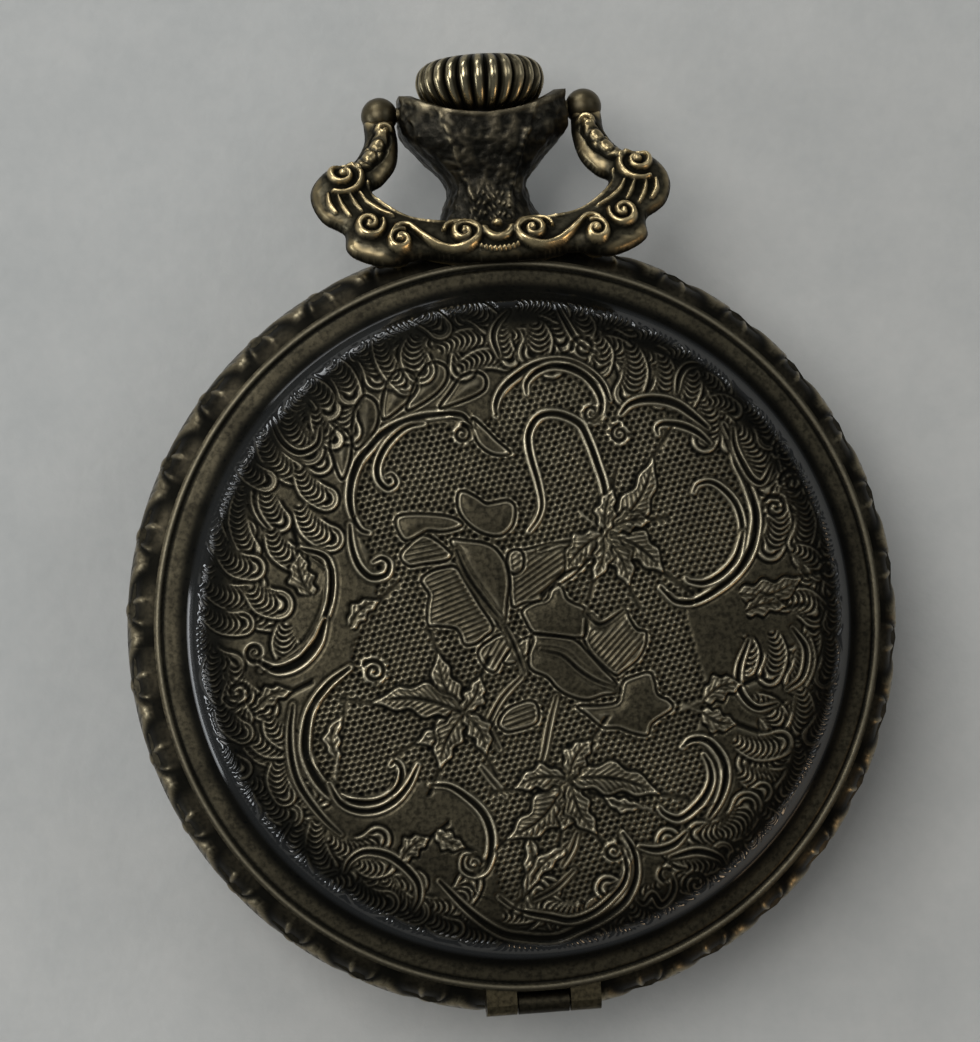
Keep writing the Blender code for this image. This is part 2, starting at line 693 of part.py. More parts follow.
BOW_PIVOT_Y = CASE_RADIUS + BOW_PIVOT_RISE
BOW_BALL_X = PENDANT_EAR + SEAT_FIT + BOW_BALL_RADIUS
SADDLE_Y = CASE_RADIUS + PENDANT_TOP_RISE - SADDLE_DEPTH
CROWN_LOW_Y = SADDLE_Y + PLATE_FIT


def pendant_ring(half_width, half_depth, y):
    """Twelve-sided section across the pendant: flat front and back panels, slanted cheeks."""
    quarter = [(1.0, 0.40), (0.80, 0.78), (0.42, 1.0)]
    front = quarter + [(-across, deep) for across, deep in reversed(quarter)]
    around = front + [(-across, -deep) for across, deep in front]
    return [(half_width * across, y, STEM_Z + half_depth * deep) for across, deep in around]


def crown_profile(margin=0.0, drop=0.0):
    """Outer section of the crown from its underside to its top, grown by a margin."""
    shape = [(0.58, 0.0), (0.87, 0.25), (1.0, 0.57), (0.92, 0.82), (0.62, 0.95), (0.0, 1.0)]
    grown = [(radius * CROWN_RADIUS + margin, height * CROWN_HEIGHT - drop) for radius, height in shape]
    grown[-1] = (0.0, grown[-1][1])
    return grown


def pendant(finish):
    """Trumpet-shaped pendant: saddle top dished for the crown, stem bore and bow sockets."""
    neck, ear = PENDANT_NECK_RISE, PENDANT_EAR_RISE
    stations = [(-0.6 * neck, PENDANT_BASE, 0.9 * PENDANT_DEPTH),
                (0.3 * neck, PENDANT_BASE, 0.9 * PENDANT_DEPTH),
                (0.62 * neck, 0.5 * (PENDANT_BASE + PENDANT_NECK), 0.82 * PENDANT_DEPTH),
                (neck, PENDANT_NECK, 0.78 * PENDANT_DEPTH),
                (0.75 * neck + 0.25 * ear, 0.9 * PENDANT_NECK + 0.1 * PENDANT_EAR, 0.80 * PENDANT_DEPTH),
                (0.4 * neck + 0.6 * ear, 0.53 * PENDANT_NECK + 0.47 * PENDANT_EAR, 0.88 * PENDANT_DEPTH),
                (ear, PENDANT_EAR, 0.97 * PENDANT_DEPTH), (PENDANT_TOP_RISE, PENDANT_EAR, PENDANT_DEPTH)]
    bm = loft([pendant_ring(width, depth, CASE_RADIUS + up) for up, width, depth in stations])
    saddle = (PENDANT_EAR ** 2 + SADDLE_DEPTH ** 2) / (2 * SADDLE_DEPTH)
    depth = 2 * PENDANT_DEPTH
    seat = crown_profile(SEAT_FIT, CROWN_PUSH + SEAT_FIT)
    tools = [moved(rod(saddle, STEM_Z - depth, STEM_Z + depth, 40), (0.0, SADDLE_Y + saddle, 0.0)),
             along_y(turned([(0.0, seat[0][1]), *seat], 3 * SMALL_FACETS), (0.0, CROWN_LOW_Y, STEM_Z)),
             rod(CASE_RADIUS + SEAT_FIT, STEM_Z - depth, STEM_Z + depth, 4 * BAND_KNOTS),
             along_y(rod(STEM_BORE_RADIUS, 0.0, 2 * PENDANT_TOP_RISE), (0.0, CASE_RADIUS - neck, STEM_Z))]
    socket = BOW_PEG_RADIUS + RUN_FIT
    start = PENDANT_EAR - BOW_PEG_LENGTH
    for side in (-1, 1):
        low, high = sorted((side * start, side * 1.5 * PENDANT_EAR))
        tools.append(along_x(rod(socket, low, high), (0.0, BOW_PIVOT_Y, STEM_Z)))
    node("pendant", cut(bm, *tools), finish)


def crown(finish):
    """Ribbed onion crown on the stem, with a blind hole for it."""
    hole = STEM_COLLAR_RADIUS + RUN_FIT
    depth = 0.62 * CROWN_HEIGHT
    bm = turned([(0.0, depth), (hole, depth), (hole, 0.0), *crown_profile()], 2 * CROWN_RIBS)
    for vert in bm.verts:
        radius = math.hypot(vert.co.x, vert.co.y)
        facet = round(math.atan2(vert.co.y, vert.co.x) * CROWN_RIBS / math.pi)
        if radius > 0.6 * CROWN_RADIUS and facet % 2 == 0:
            vert.co.x *= 1 - CROWN_RIB_DEPTH / radius
            vert.co.y *= 1 - CROWN_RIB_DEPTH / radius
    node("crown", bm, finish, (0.0, CROWN_LOW_Y, STEM_Z), (math.radians(-90), 0.0, 0.0))


def smooth_path(points, per_span):
    """Catmull-Rom curve through plan points."""
    padded = [points[0], *points, points[-1]]
    result = []
    for before, start, end, after in zip(padded, padded[1:], padded[2:], padded[3:]):
        for step in range(per_span):
            t = step / per_span
            result.append(tuple(
                0.5 * (2 * b + (c - a) * t + (2 * a - 5 * b + 4 * c - d) * t ** 2
                       + (3 * b - a - 3 * c + d) * t ** 3)
                for a, b, c, d in zip(before, start, end, after)))
    return result + [points[-1]]


def bow_outline():
    """Closed outline of the cast bow, in shares of its half width and its drop."""
    outer = [(0.67, 0.05), (0.68, 0.20), (0.77, 0.34), (0.91, 0.38), (0.99, 0.48), (1.0, 0.59), (0.95, 0.71),
             (0.84, 0.80), (0.83, 0.92), (0.74, 0.99), (0.61, 1.03), (0.49, 1.0), (0.38, 0.955),
             (0.24, 0.985),
             (0.12, 0.965), (0.0, 0.97)]
    inner = [(0.0, 0.77), (0.27, 0.76), (0.46, 0.72), (0.60, 0.615), (0.66, 0.525), (0.59, 0.47),
             (0.515, 0.36),
             (0.49, 0.20), (0.50, 0.05)]
    outer = smooth_path([(x * BOW_SIDE, y * BOW_DROP) for x, y in outer], 2)
    inner = smooth_path([(x * BOW_SIDE, y * BOW_DROP) for x, y in inner], 2)
    return (outer[:-1] + [(-x, y) for x, y in reversed(outer)]
            + [(-x, y) for x, y in reversed(inner)] + inner[1:])


def plate_with_edges(outline, half_thick, edge):
    """Flat casting whose front and back edges are chamfered."""
    bm = prism(outline, -half_thick, half_thick)
    rims = [item for item in bm.edges
            if abs(item.verts[0].co.z - item.verts[1].co.z) < MERGE
            and abs(item.calc_face_angle(0.0)) > math.radians(60)]
    bmesh.ops.bevel(bm, geom=rims, offset=edge, offset_type="OFFSET", segments=1, profile=0.5,
                    affect="EDGES", material=-1)
    return face_out(bm)


def scroll_boss(centre, radius, half_thick):
    """Dished round boss that stands for a rolled scroll end."""
    profile = [(0.0, 0.95), (0.45, 0.80), (0.75, 1.0), (1.0, 0.75)]
    outline = [(r * radius, h * half_thick) for r, h in profile]
    outline += [(r, -h) for r, h in reversed(outline)]
    return moved(turned(outline, 8), (*centre, 0.0))


def bow(finish):
    """Cast bow: pierced plate with scroll bosses, a crest bead, end balls and pegs."""
    side, drop = BOW_SIDE, BOW_DROP
    bm = plate_with_edges(bow_outline(), BOW_HALF_THICK, BOW_EDGE)
    bosses = [((0.835, 0.525), 0.125), ((0.735, 0.835), 0.085), ((0.575, 0.945), 0.07),
              ((0.25, 0.885), 0.085)]
    peg = BOW_BALL_X - PENDANT_EAR + BOW_PEG_LENGTH - SEAT_FIT
    for hand in (-1, 1):
        for (x, y), share in bosses:
            boss = scroll_boss((hand * x * side, y * drop), share * side, BOW_HALF_THICK + BOW_EDGE)
            bm = united(bm, boss)
        ball = bmesh.new()
        bmesh.ops.create_uvsphere(ball, u_segments=12, v_segments=6, radius=BOW_BALL_RADIUS)
        moved(ball, (hand * BOW_BALL_X, 0.0, 0.0))
        ends = sorted((hand * BOW_BALL_X, hand * (BOW_BALL_X - peg)))
        bm = united(bm, ball, along_x(rod(BOW_PEG_RADIUS, *ends), (0.0, 0.0, 0.0)))
    bm = united(bm, scroll_boss((0.0, 0.86 * drop), 0.06 * side, BOW_HALF_THICK + BOW_EDGE))
    node("bow", bm, finish, (0.0, BOW_PIVOT_Y, STEM_Z), (math.radians(180.0 - BOW_TILT), 0.0, 0.0))


def bezel_and_crystal(metal, glass):
    """Inner bezel on the case rim, and the domed crystal seated on it."""
    inner = RIM_INNER - BEZEL_LAP
    bezel = turned([(inner, BEZEL_LOW), (RIM_OUTER, BEZEL_LOW), (RIM_OUTER, BEZEL_LOW + BEZEL_HEIGHT / 2),
                    (inner + BEZEL_LAP / 2, BEZEL_HIGH), (inner, BEZEL_HIGH)], PLATE_FACETS, ring=True)
    node("bezel", bezel, metal)
    edge = inner + 0.6 * BEZEL_LAP
    rise = CRYSTAL_LOW + CRYSTAL_RISE
    thick = CRYSTAL_THICK
    profile = [(0.0, rise), (0.45 * edge, rise - 0.1 * CRYSTAL_RISE),
               (0.83 * edge, rise - 0.5 * CRYSTAL_RISE),
               (edge - thick, CRYSTAL_LOW), (edge, CRYSTAL_LOW), (edge, CRYSTAL_LOW + 0.6 * thick),
               (0.85 * edge, rise - 0.5 * CRYSTAL_RISE + thick),
               (0.45 * edge, rise - 0.1 * CRYSTAL_RISE + thick),
               (0.0, rise + thick)]
    node("crystal", turned(profile, PLATE_FACETS), glass)


# Movement: places of posts, feet and screws

PIVOT_HOLE = PIVOT_RADIUS + RUN_FIT
POST_RADIUS = SCREW_SHANK_RADIUS
POST_HOLE = POST_RADIUS + RUN_FIT
SCREW_HOLE = SCREW_SHANK_RADIUS + RUN_FIT
BARREL_ARBOR_HOLE = BARREL_ARBOR_RADIUS + RUN_FIT
CANNON_INNER = CENTRE_ARBOR_RADIUS + RUN_FIT
CANNON_OUTER = CANNON_INNER + TUBE_WALL
HOUR_TUBE_INNER = CANNON_OUTER + RUN_FIT
HOUR_TUBE_OUTER = HOUR_TUBE_INNER + TUBE_WALL
SETTING_TIP_Y = SETTING_AT[1] + (SETTING_TEETH / 2 + ADDENDUM) * MOTION_MODULE
CLUTCH_LOW_Y = SETTING_TIP_Y + RUN_FIT + CLUTCH_SHIFT
CLUTCH_HIGH_Y = CLUTCH_LOW_Y + CROWN_PULL + CLUTCH_LAP
PINION_LOW_Y = CLUTCH_HIGH_Y + SEAT_FIT
PINION_HIGH_Y = PINION_LOW_Y + WINDING_PINION_LENGTH
COLLAR_LOW_Y = PINION_HIGH_Y + CROWN_PUSH + SEAT_FIT
GROOVE_LOW_Y = COLLAR_LOW_Y + STEM_GROOVE_WIDTH
GROOVE_HIGH_Y = GROOVE_LOW_Y + STEM_GROOVE_WIDTH
LEVER_PIN_AT = (-(STEM_GROOVE_RADIUS + LEVER_PIN_RADIUS + RUN_FIT), (GROOVE_LOW_Y + GROOVE_HIGH_Y) / 2)
LEVER_AT = (LEVER_PIN_AT[0] - LEVER_ARM, LEVER_PIN_AT[1])
YOKE_PIN_AT = (-(CLUTCH_RADIUS - CLUTCH_GROOVE_DEPTH + LEVER_PIN_RADIUS + RUN_FIT),
               (CLUTCH_LOW_Y + CLUTCH_HIGH_Y) / 2)
YOKE_AT = (YOKE_PIN_AT[0] - YOKE_ARM, YOKE_PIN_AT[1])
SLOT_HALF = max(CLUTCH_RADIUS, (WINDING_TEETH / 2 + ADDENDUM) * WINDING_MODULE,
                -YOKE_PIN_AT[0] + LEVER_PIN_RADIUS) + PLATE_FIT
SLOT_LOW_Y = CLUTCH_LOW_Y - CLUTCH_SHIFT - CROWN_PUSH - SEAT_FIT
DIAL_FEET_AT = [polar(PLATE_RADIUS - DIAL_FOOT_INSET, turn) for turn in (75.0, 195.0, 315.0)]
CASE_SCREWS_AT = [polar(SHELF_RADIUS - SCREW_SHANK_RADIUS - RUN_FIT, turn) for turn in (160.0, -10.0)]
PAD_MIDDLE = BRIDGE_RADIUS - SCREW_HEAD_RADIUS - PLATE_FIT
BARREL_SCREWS_AT = [polar(PAD_MIDDLE, 162.0), polar(PAD_MIDDLE, 3.0)]
TRAIN_SCREWS_AT = [polar(PAD_MIDDLE, 202.0), polar(PAD_MIDDLE, 240.0)]
COCK_FOOT_AT = polar(BRIDGE_RADIUS - COCK_FOOT_INSET, -74.0)
PALLET_FOOT_AT = polar(BALANCE_RADIUS + SCREW_HEAD_RADIUS + PLATE_FIT, -115.0, BALANCE_AT)
CLICK_AT = polar(RATCHET_TIP + 2 * CLICK_RADIUS, -60.0, BARREL_AT)
CLICK_TIP_AT = polar(RATCHET_TIP + CLICK_TIP_RADIUS + PLATE_FIT, -35.0, BARREL_AT)
CLICK_SPRING_AT = polar(RATCHET_TIP + CLICK_SPRING_STANDOFF, -41.0, BARREL_AT)
CLICK_SPRING_TIP_AT = polar(RATCHET_TIP + CLICK_SPRING_TIP_STANDOFF, -31.0, BARREL_AT)


def plate_holes():
    """Every pivot, post, foot and screw hole of the mainplate."""
    holes = [circle(CANNON_INNER), circle(BARREL_ARBOR_HOLE, BARREL_AT)]
    holes += [circle(PIVOT_HOLE, at, PIVOT_FACETS) for at in (THIRD_AT, FOURTH_AT, ESCAPE_AT, PALLET_AT,
                                                              BALANCE_AT)]
    holes += [circle(POST_HOLE, at) for at in (MINUTE_AT, SETTING_AT, LEVER_AT, YOKE_AT)]
    holes += [circle(DIAL_FOOT_RADIUS + RUN_FIT, at) for at in DIAL_FEET_AT]
    screws = CASE_SCREWS_AT + BARREL_SCREWS_AT + TRAIN_SCREWS_AT + [COCK_FOOT_AT, PALLET_FOOT_AT]
    return holes + [circle(SCREW_HOLE, at, PIVOT_FACETS) for at in screws]


def mainplate(finish):
    """Mainplate with a slot for the keyless work."""
    half = math.degrees(math.asin(SLOT_HALF / PLATE_RADIUS))
    outline = arc(PLATE_RADIUS, 90.0 + half, 450.0 - half, PLATE_FACETS)
    outline += [(SLOT_HALF, SLOT_LOW_Y), (-SLOT_HALF, SLOT_LOW_Y)]
    node("mainplate", prism(outline, PLATE_LOW, PLATE_HIGH, plate_holes()), finish)


def bridges(finish):
    """Barrel bridge over the winding side and train bridge over the going train."""
    pillar_low = BRIDGE_HIGH - SEAT_FIT
    pillar_high = PLATE_LOW - END_SHAKE
    inset = BRIDGE_RADIUS - SEAT_FIT
    split = math.degrees(math.asin((BRIDGE_SPLIT_Y + SEAT_FIT) / BRIDGE_RADIUS))
    holes = [circle(PIVOT_HOLE), circle(BARREL_ARBOR_HOLE, BARREL_AT), circle(PIVOT_HOLE, CLICK_AT),
             circle(PIVOT_HOLE, CLICK_SPRING_AT)]
    top = prism(arc(BRIDGE_RADIUS, split, 180.0 - split, 24), BRIDGE_LOW, BRIDGE_HIGH, holes)
    boss = moved(rod(BARREL_ARBOR_RADIUS, pillar_low, RATCHET_HIGH - END_SHAKE), (*CROWN_WHEEL_AT, 0.0))
    pads = [prism(sector(inset - 2.5 * SCREW_HEAD_RADIUS, inset, start, end, 4), pillar_low, pillar_high)
            for start, end in ((152.0, 173.0), (-4.0, 10.0))]
    shanks = [moved(rod(SCREW_HOLE, 0.0, LID_HIGH), (*at, 0.0)) for at in BARREL_SCREWS_AT]
    node("barrel_bridge", cut(united(top, boss, *pads), *shanks), finish)

    lower = math.degrees(math.asin((BRIDGE_SPLIT_Y - SEAT_FIT) / BRIDGE_RADIUS))
    outline = arc(BRIDGE_RADIUS, 180.0 - lower, 266.0, 10)
    outline.append((0.33 * ESCAPE_AT[0], 1.29 * ESCAPE_AT[1]))
    outline += arc(3 * ARBOR_RADIUS, -110.0, 30.0, 5, ESCAPE_AT)
    outline += arc(BALANCE_RADIUS + 3 * PLATE_FIT, 198.0, 150.0, 4, BALANCE_AT)
    outline.append((0.9 * ESCAPE_AT[0], BRIDGE_SPLIT_Y - SEAT_FIT))
    holes = [circle(PIVOT_HOLE, at, PIVOT_FACETS) for at in (THIRD_AT, FOURTH_AT, ESCAPE_AT)]
    top = prism(outline, BRIDGE_LOW, BRIDGE_HIGH, holes)
    pad = prism(sector(inset - 3 * SCREW_HEAD_RADIUS, inset, 194.0, 248.0, 6), pillar_low, pillar_high)
    shanks = [moved(rod(SCREW_HOLE, 0.0, LID_HIGH), (*at, 0.0)) for at in TRAIN_SCREWS_AT]
    node("train_bridge", cut(united(top, pad), *shanks), finish)


def cocks(finish):
    """Balance cock and pallet cock, each on one foot."""
    specs = (("balance_cock", COCK_FOOT_AT, COCK_FOOT_RADIUS, BALANCE_AT, COCK_LOW, COCK_HIGH),
             ("pallet_cock", PALLET_FOOT_AT, PALLET_FOOT_RADIUS, PALLET_AT, PALLET_COCK_LOW,
              PALLET_COCK_HIGH))
    for name, foot, radius, pivot, low, high in specs:
        arm = prism(capsule(foot, radius + SEAT_FIT, pivot, 0.75 * radius), low, high)
        pillar = moved(rod(radius, high - SEAT_FIT, PLATE_LOW - END_SHAKE, 12), (*foot, 0.0))
        bm = united(arm, pillar)
        if name == "balance_cock":
            bm = united(bm, moved(rod(0.3 * radius, low - 1.5 * PLATE_FIT, low + SEAT_FIT), (*pivot, 0.0)))
        holes = [moved(rod(size, 0.0, LID_HIGH), (*at, 0.0))
                 for size, at in ((SCREW_HOLE, foot), (PIVOT_HOLE, pivot))]
        node(name, cut(bm, *holes), finish)


def screw(name, at, seat, head_radius, finish):
    """Plate screw whose head bears on the underside at the seat height."""
    head = seat - END_SHAKE
    bm = stepped_arbor([(head_radius, head - SCREW_HEAD_HEIGHT, head),
                        (SCREW_SHANK_RADIUS, head, PLATE_HIGH - PLATE_FIT)], SMALL_FACETS)
    node(name, bm, finish, (*at, 0.0))


def screws(finish):
    """Case screws, bridge screws and cock screws."""
    for number, at in enumerate(CASE_SCREWS_AT, 1):
        screw(f"case_screw_{number}", at, SHELF_LOW, CASE_SCREW_HEAD_RADIUS, finish)
    for number, at in enumerate(BARREL_SCREWS_AT, 1):
        screw(f"barrel_bridge_screw_{number}", at, BRIDGE_LOW, SCREW_HEAD_RADIUS, finish)
    for number, at in enumerate(TRAIN_SCREWS_AT, 1):
        screw(f"train_bridge_screw_{number}", at, BRIDGE_LOW, SCREW_HEAD_RADIUS, finish)
    screw("balance_cock_screw", COCK_FOOT_AT, COCK_LOW, SCREW_HEAD_RADIUS, finish)
    screw("pallet_cock_screw", PALLET_FOOT_AT, PALLET_COCK_LOW, SCREW_HEAD_RADIUS, finish)


def train_arbor(upper_end, upper_radius=PIVOT_RADIUS):
    """Arbor that runs from the bridge, through the plate, to its upper end."""
    low = BRIDGE_HIGH + END_SHAKE
    high = PLATE_LOW - END_SHAKE
    return stepped_arbor([(PIVOT_RADIUS, BRIDGE_LOW + PLATE_FIT, low), (ARBOR_RADIUS, low, high),
                          (upper_radius, high, upper_end)])


def train_wheel(name, at, teeth, module, target, low, leaf, upper_end, finish):
    """Wheel, pinion and arbor of one train axis.

    leaf is (leaves, module, driver's place, low, high) of the pinion.
    """
    radius = teeth * module / 2
    holes = crossings(0.32 * radius, 0.78 * radius, 4, 0.09 * radius)
    wheel = prism(gear(teeth, module, bearing(at, target)), low, low + WHEEL_THICK, holes)
    leaves, leaf_module, driver, leaf_low, leaf_high = leaf
    leaf_pinion = pinion(leaves, leaf_module, bearing(at, driver), leaf_low, leaf_high)
    upper = CENTRE_ARBOR_RADIUS if name == "centre_wheel" else PIVOT_RADIUS
    bm = united(wheel, leaf_pinion, train_arbor(upper_end, upper))
    node(name, bm, finish, (*at, 0.0))


def going_train(finish):
    """Centre, third, fourth and escape wheels."""
    top = PLATE_HIGH - PLATE_FIT
    lap = SEAT_FIT
    train_wheel("centre_wheel", CENTRE_AT, CENTRE_TEETH, CENTRE_MODULE, THIRD_AT, CENTRE_LOW,
                (CENTRE_LEAVES, BARREL_MODULE, BARREL_AT, BARREL_HIGH - BARREL_TOOTH_THICK - lap,
                 BARREL_HIGH),
                MINUTE_HAND_LOW + HAND_THICK + END_SHAKE, finish)
    train_wheel("third_wheel", THIRD_AT, THIRD_TEETH, THIRD_MODULE, FOURTH_AT, THIRD_LOW,
                (THIRD_LEAVES, CENTRE_MODULE, CENTRE_AT, CENTRE_LOW - lap, CENTRE_HIGH + lap), top, finish)
    train_wheel("fourth_wheel", FOURTH_AT, FOURTH_TEETH, FOURTH_MODULE, ESCAPE_AT, FOURTH_LOW,
                (FOURTH_LEAVES, THIRD_MODULE, THIRD_AT, THIRD_LOW - lap, THIRD_HIGH + lap),
                SECONDS_LOW + HAND_THICK, finish)
    outline = []
    for index in range(ESCAPE_TEETH):
        start = 360.0 * index / ESCAPE_TEETH
        outline += [polar(ESCAPE_RADIUS, start), polar(0.96 * ESCAPE_RADIUS, start + 4.0),
                    polar(0.78 * ESCAPE_RADIUS, start + 12.0)]
    wheel = prism(outline, THIRD_LOW, THIRD_HIGH)
    leaf = pinion(ESCAPE_LEAVES, FOURTH_MODULE, bearing(ESCAPE_AT, FOURTH_AT), FOURTH_LOW - lap,
                  FOURTH_HIGH + lap)
    node("escape_wheel", united(wheel, leaf, train_arbor(top)), finish, (*ESCAPE_AT, 0.0))


def spiral(inner, pitch, turns, blade, low, high, per_turn=12):
    """Flat spiral blade, and the least gap between its turns measured on its points."""
    count = turns * per_turn
    rings = []
    for step in range(count + 1):
        angle = math.tau * step / per_turn
        radius = inner + pitch * step / per_turn
        rings.append([(r * math.cos(angle), r * math.sin(angle), z)
                      for r, z in ((radius - blade / 2, low), (radius + blade / 2, low),
                                   (radius + blade / 2, high), (radius - blade / 2, high))])
    gap = min(math.dist(rings[step][1], rings[step + per_turn][0]) for step in range(count + 1 - per_turn))
    return loft(rings), gap


def barrel(brass, steel):
    """Toothed drum, cover, arbor and mainspring."""
    pitch = BARREL_TEETH * BARREL_MODULE / 2
    outer = pitch - (DEDENDUM + 0.4) * BARREL_MODULE
    inner = outer - BARREL_WALL
    floor = BARREL_HIGH - BARREL_TOOTH_THICK
    hole = circle(BARREL_ARBOR_HOLE)
    at = (*BARREL_AT, 0.0)
    teeth = prism(gear(BARREL_TEETH, BARREL_MODULE, bearing(BARREL_AT, CENTRE_AT)), floor, BARREL_HIGH,
                  [hole])
    node("barrel_drum", united(teeth, tube(inner, outer, BARREL_LOW, floor + END_SHAKE, PLATE_FACETS)),
         brass, at)
    lid = prism(circle(inner - RUN_FIT, facets=PLATE_FACETS), BARREL_LOW, BARREL_LOW + SEAT_FIT, [hole])
    node("barrel_cover", lid, brass, at)
    low = BARREL_LOW + SEAT_FIT + END_SHAKE
    high = floor - END_SHAKE
    hub = 0.8 * MAINSPRING_INNER
    arbor = stepped_arbor([(BARREL_ARBOR_RADIUS, BRIDGE_LOW + PLATE_FIT, low), (hub, low, high),
                           (BARREL_ARBOR_RADIUS, high, PLATE_HIGH - PLATE_FIT)], SMALL_FACETS)
    node("barrel_arbor", arbor, steel, at)
    bm, gap = spiral(MAINSPRING_INNER, MAINSPRING_PITCH, MAINSPRING_TURNS, MAINSPRING_BLADE, low, high)
    print(f"mainspring least gap {gap * 1000:.3f} mm")
    node("mainspring", bm, steel, at)


def winding_work(steel):
    """Crown wheel, ratchet wheel, click and click spring under the barrel bridge."""
    low, high = RATCHET_LOW, RATCHET_HIGH
    hole = circle(BARREL_ARBOR_HOLE)
    to_barrel = bearing(CROWN_WHEEL_AT, BARREL_AT)
    node("crown_wheel", prism(gear(CROWN_WHEEL_TEETH, RATCHET_MODULE, to_barrel), low, high, [hole]), steel,
         (*CROWN_WHEEL_AT, 0.0))
    space = to_barrel + 180.0 + 180.0 / RATCHET_TEETH
    node("ratchet_wheel", prism(gear(RATCHET_TEETH, RATCHET_MODULE, space), low, high, [hole]), steel,
         (*BARREL_AT, 0.0))
    for name, foot, radius, tip, tip_radius in (
            ("click", CLICK_AT, CLICK_RADIUS, CLICK_TIP_AT, CLICK_TIP_RADIUS),
            ("click_spring", CLICK_SPRING_AT, 0.7 * CLICK_RADIUS, CLICK_SPRING_TIP_AT,
             0.5 * CLICK_TIP_RADIUS)):
        offset = (tip[0] - foot[0], tip[1] - foot[1])
        blade = prism(capsule((0.0, 0.0), radius, offset, tip_radius), low, high)
        post = rod(PIVOT_RADIUS, BRIDGE_LOW + PLATE_FIT, low + SEAT_FIT)
        node(name, united(blade, post), steel, (*foot, 0.0))


def keyless_work(steel):
    """Stem, winding pinion, sliding clutch, setting lever, yoke and setting wheel."""
    tip = CLUTCH_LOW_Y - CLUTCH_SHIFT
    collar_end = GROOVE_HIGH_Y + STEM_GROOVE_WIDTH
    crown_seat = CROWN_LOW_Y + 0.55 * CROWN_HEIGHT
    steps = [(STEM_RADIUS, tip, COLLAR_LOW_Y), (STEM_COLLAR_RADIUS, COLLAR_LOW_Y, GROOVE_LOW_Y),
             (STEM_GROOVE_RADIUS, GROOVE_LOW_Y, GROOVE_HIGH_Y),
             (STEM_COLLAR_RADIUS, GROOVE_HIGH_Y, collar_end),
             (STEM_RADIUS, collar_end, CROWN_LOW_Y - SEAT_FIT),
             (STEM_COLLAR_RADIUS, CROWN_LOW_Y - SEAT_FIT, crown_seat)]
    axis = (0.0, 0.0, STEM_Z)
    turn = (math.radians(-90), 0.0, 0.0)
    node("winding_stem", stepped_arbor(steps, SMALL_FACETS), steel, axis, turn)
    bore = circle(STEM_RADIUS + RUN_FIT)
    node("winding_pinion", prism(gear(WINDING_TEETH, WINDING_MODULE), PINION_LOW_Y, PINION_HIGH_Y, [bore]),
         steel, axis, turn)
    groove = CLUTCH_RADIUS - CLUTCH_GROOVE_DEPTH
    low = YOKE_PIN_AT[1] - CLUTCH_GROOVE_WIDTH / 2
    high = YOKE_PIN_AT[1] + CLUTCH_GROOVE_WIDTH / 2
    inner = STEM_RADIUS + RUN_FIT
    profile = [(inner, CLUTCH_LOW_Y), (CLUTCH_RADIUS, CLUTCH_LOW_Y), (CLUTCH_RADIUS, low), (groove, low),
               (groove, high), (CLUTCH_RADIUS, high), (CLUTCH_RADIUS, CLUTCH_HIGH_Y), (inner, CLUTCH_HIGH_Y)]
    node("sliding_clutch", turned(profile, 12, ring=True), steel, axis, turn)
    for name, at, pin_at in (("setting_lever", LEVER_AT, LEVER_PIN_AT), ("yoke", YOKE_AT, YOKE_PIN_AT)):
        reach = pin_at[0] - at[0]
        arm = prism(capsule((0.0, 0.0), 2 * POST_RADIUS, (reach, 0.0), 1.4 * LEVER_PIN_RADIUS),
                    MOTION_LOW, MOTION_HIGH)
        post = rod(POST_RADIUS, PLATE_LOW + PLATE_FIT, MOTION_LOW + SEAT_FIT)
        pin = moved(rod(LEVER_PIN_RADIUS, STEM_Z - LEVER_PIN_RADIUS, MOTION_LOW + SEAT_FIT),
                    (reach, 0.0, 0.0))
        node(name, united(arm, post, pin), steel, (*at, 0.0))
    wheel = prism(gear(SETTING_TEETH, MOTION_MODULE, -90.0 + 180.0 / SETTING_TEETH), MOTION_LOW, MOTION_HIGH)
    post = rod(POST_RADIUS, PLATE_LOW + PLATE_FIT, MOTION_HIGH + SEAT_FIT)
    node("setting_wheel", united(wheel, post), steel, (*SETTING_AT, 0.0))


def motion_work(brass, steel):
    """Cannon pinion, minute wheel and hour wheel under the dial."""
    top = MINUTE_HAND_LOW + HAND_THICK
    cannon = united(pinion(CANNON_LEAVES, MOTION_MODULE, 90.0, MOTION_LOW, MOTION_HIGH),
                    rod(CANNON_OUTER, MOTION_LOW + END_SHAKE, top))
    node("cannon_pinion", cut(cannon, rod(CANNON_INNER, 0.0, LID_HIGH)), steel)
    post = rod(POST_RADIUS, PLATE_LOW + PLATE_FIT, HOUR_HIGH + SEAT_FIT)
    leaf = pinion(MINUTE_LEAVES, MOTION_MODULE, -90.0, MOTION_HIGH - END_SHAKE, HOUR_HIGH + END_SHAKE)
    wheel = prism(gear(MINUTE_TEETH, MOTION_MODULE, -90.0), MOTION_LOW, MOTION_HIGH)
    node("minute_wheel", united(wheel, leaf, post), brass, (*MINUTE_AT, 0.0))
    hour = united(prism(gear(HOUR_TEETH, MOTION_MODULE, 90.0), HOUR_LOW, HOUR_HIGH),
                  rod(HOUR_TUBE_OUTER, HOUR_LOW + END_SHAKE, HOUR_HAND_LOW + HAND_THICK))
    node("hour_wheel", cut(hour, rod(HOUR_TUBE_INNER, 0.0, LID_HIGH)), brass)


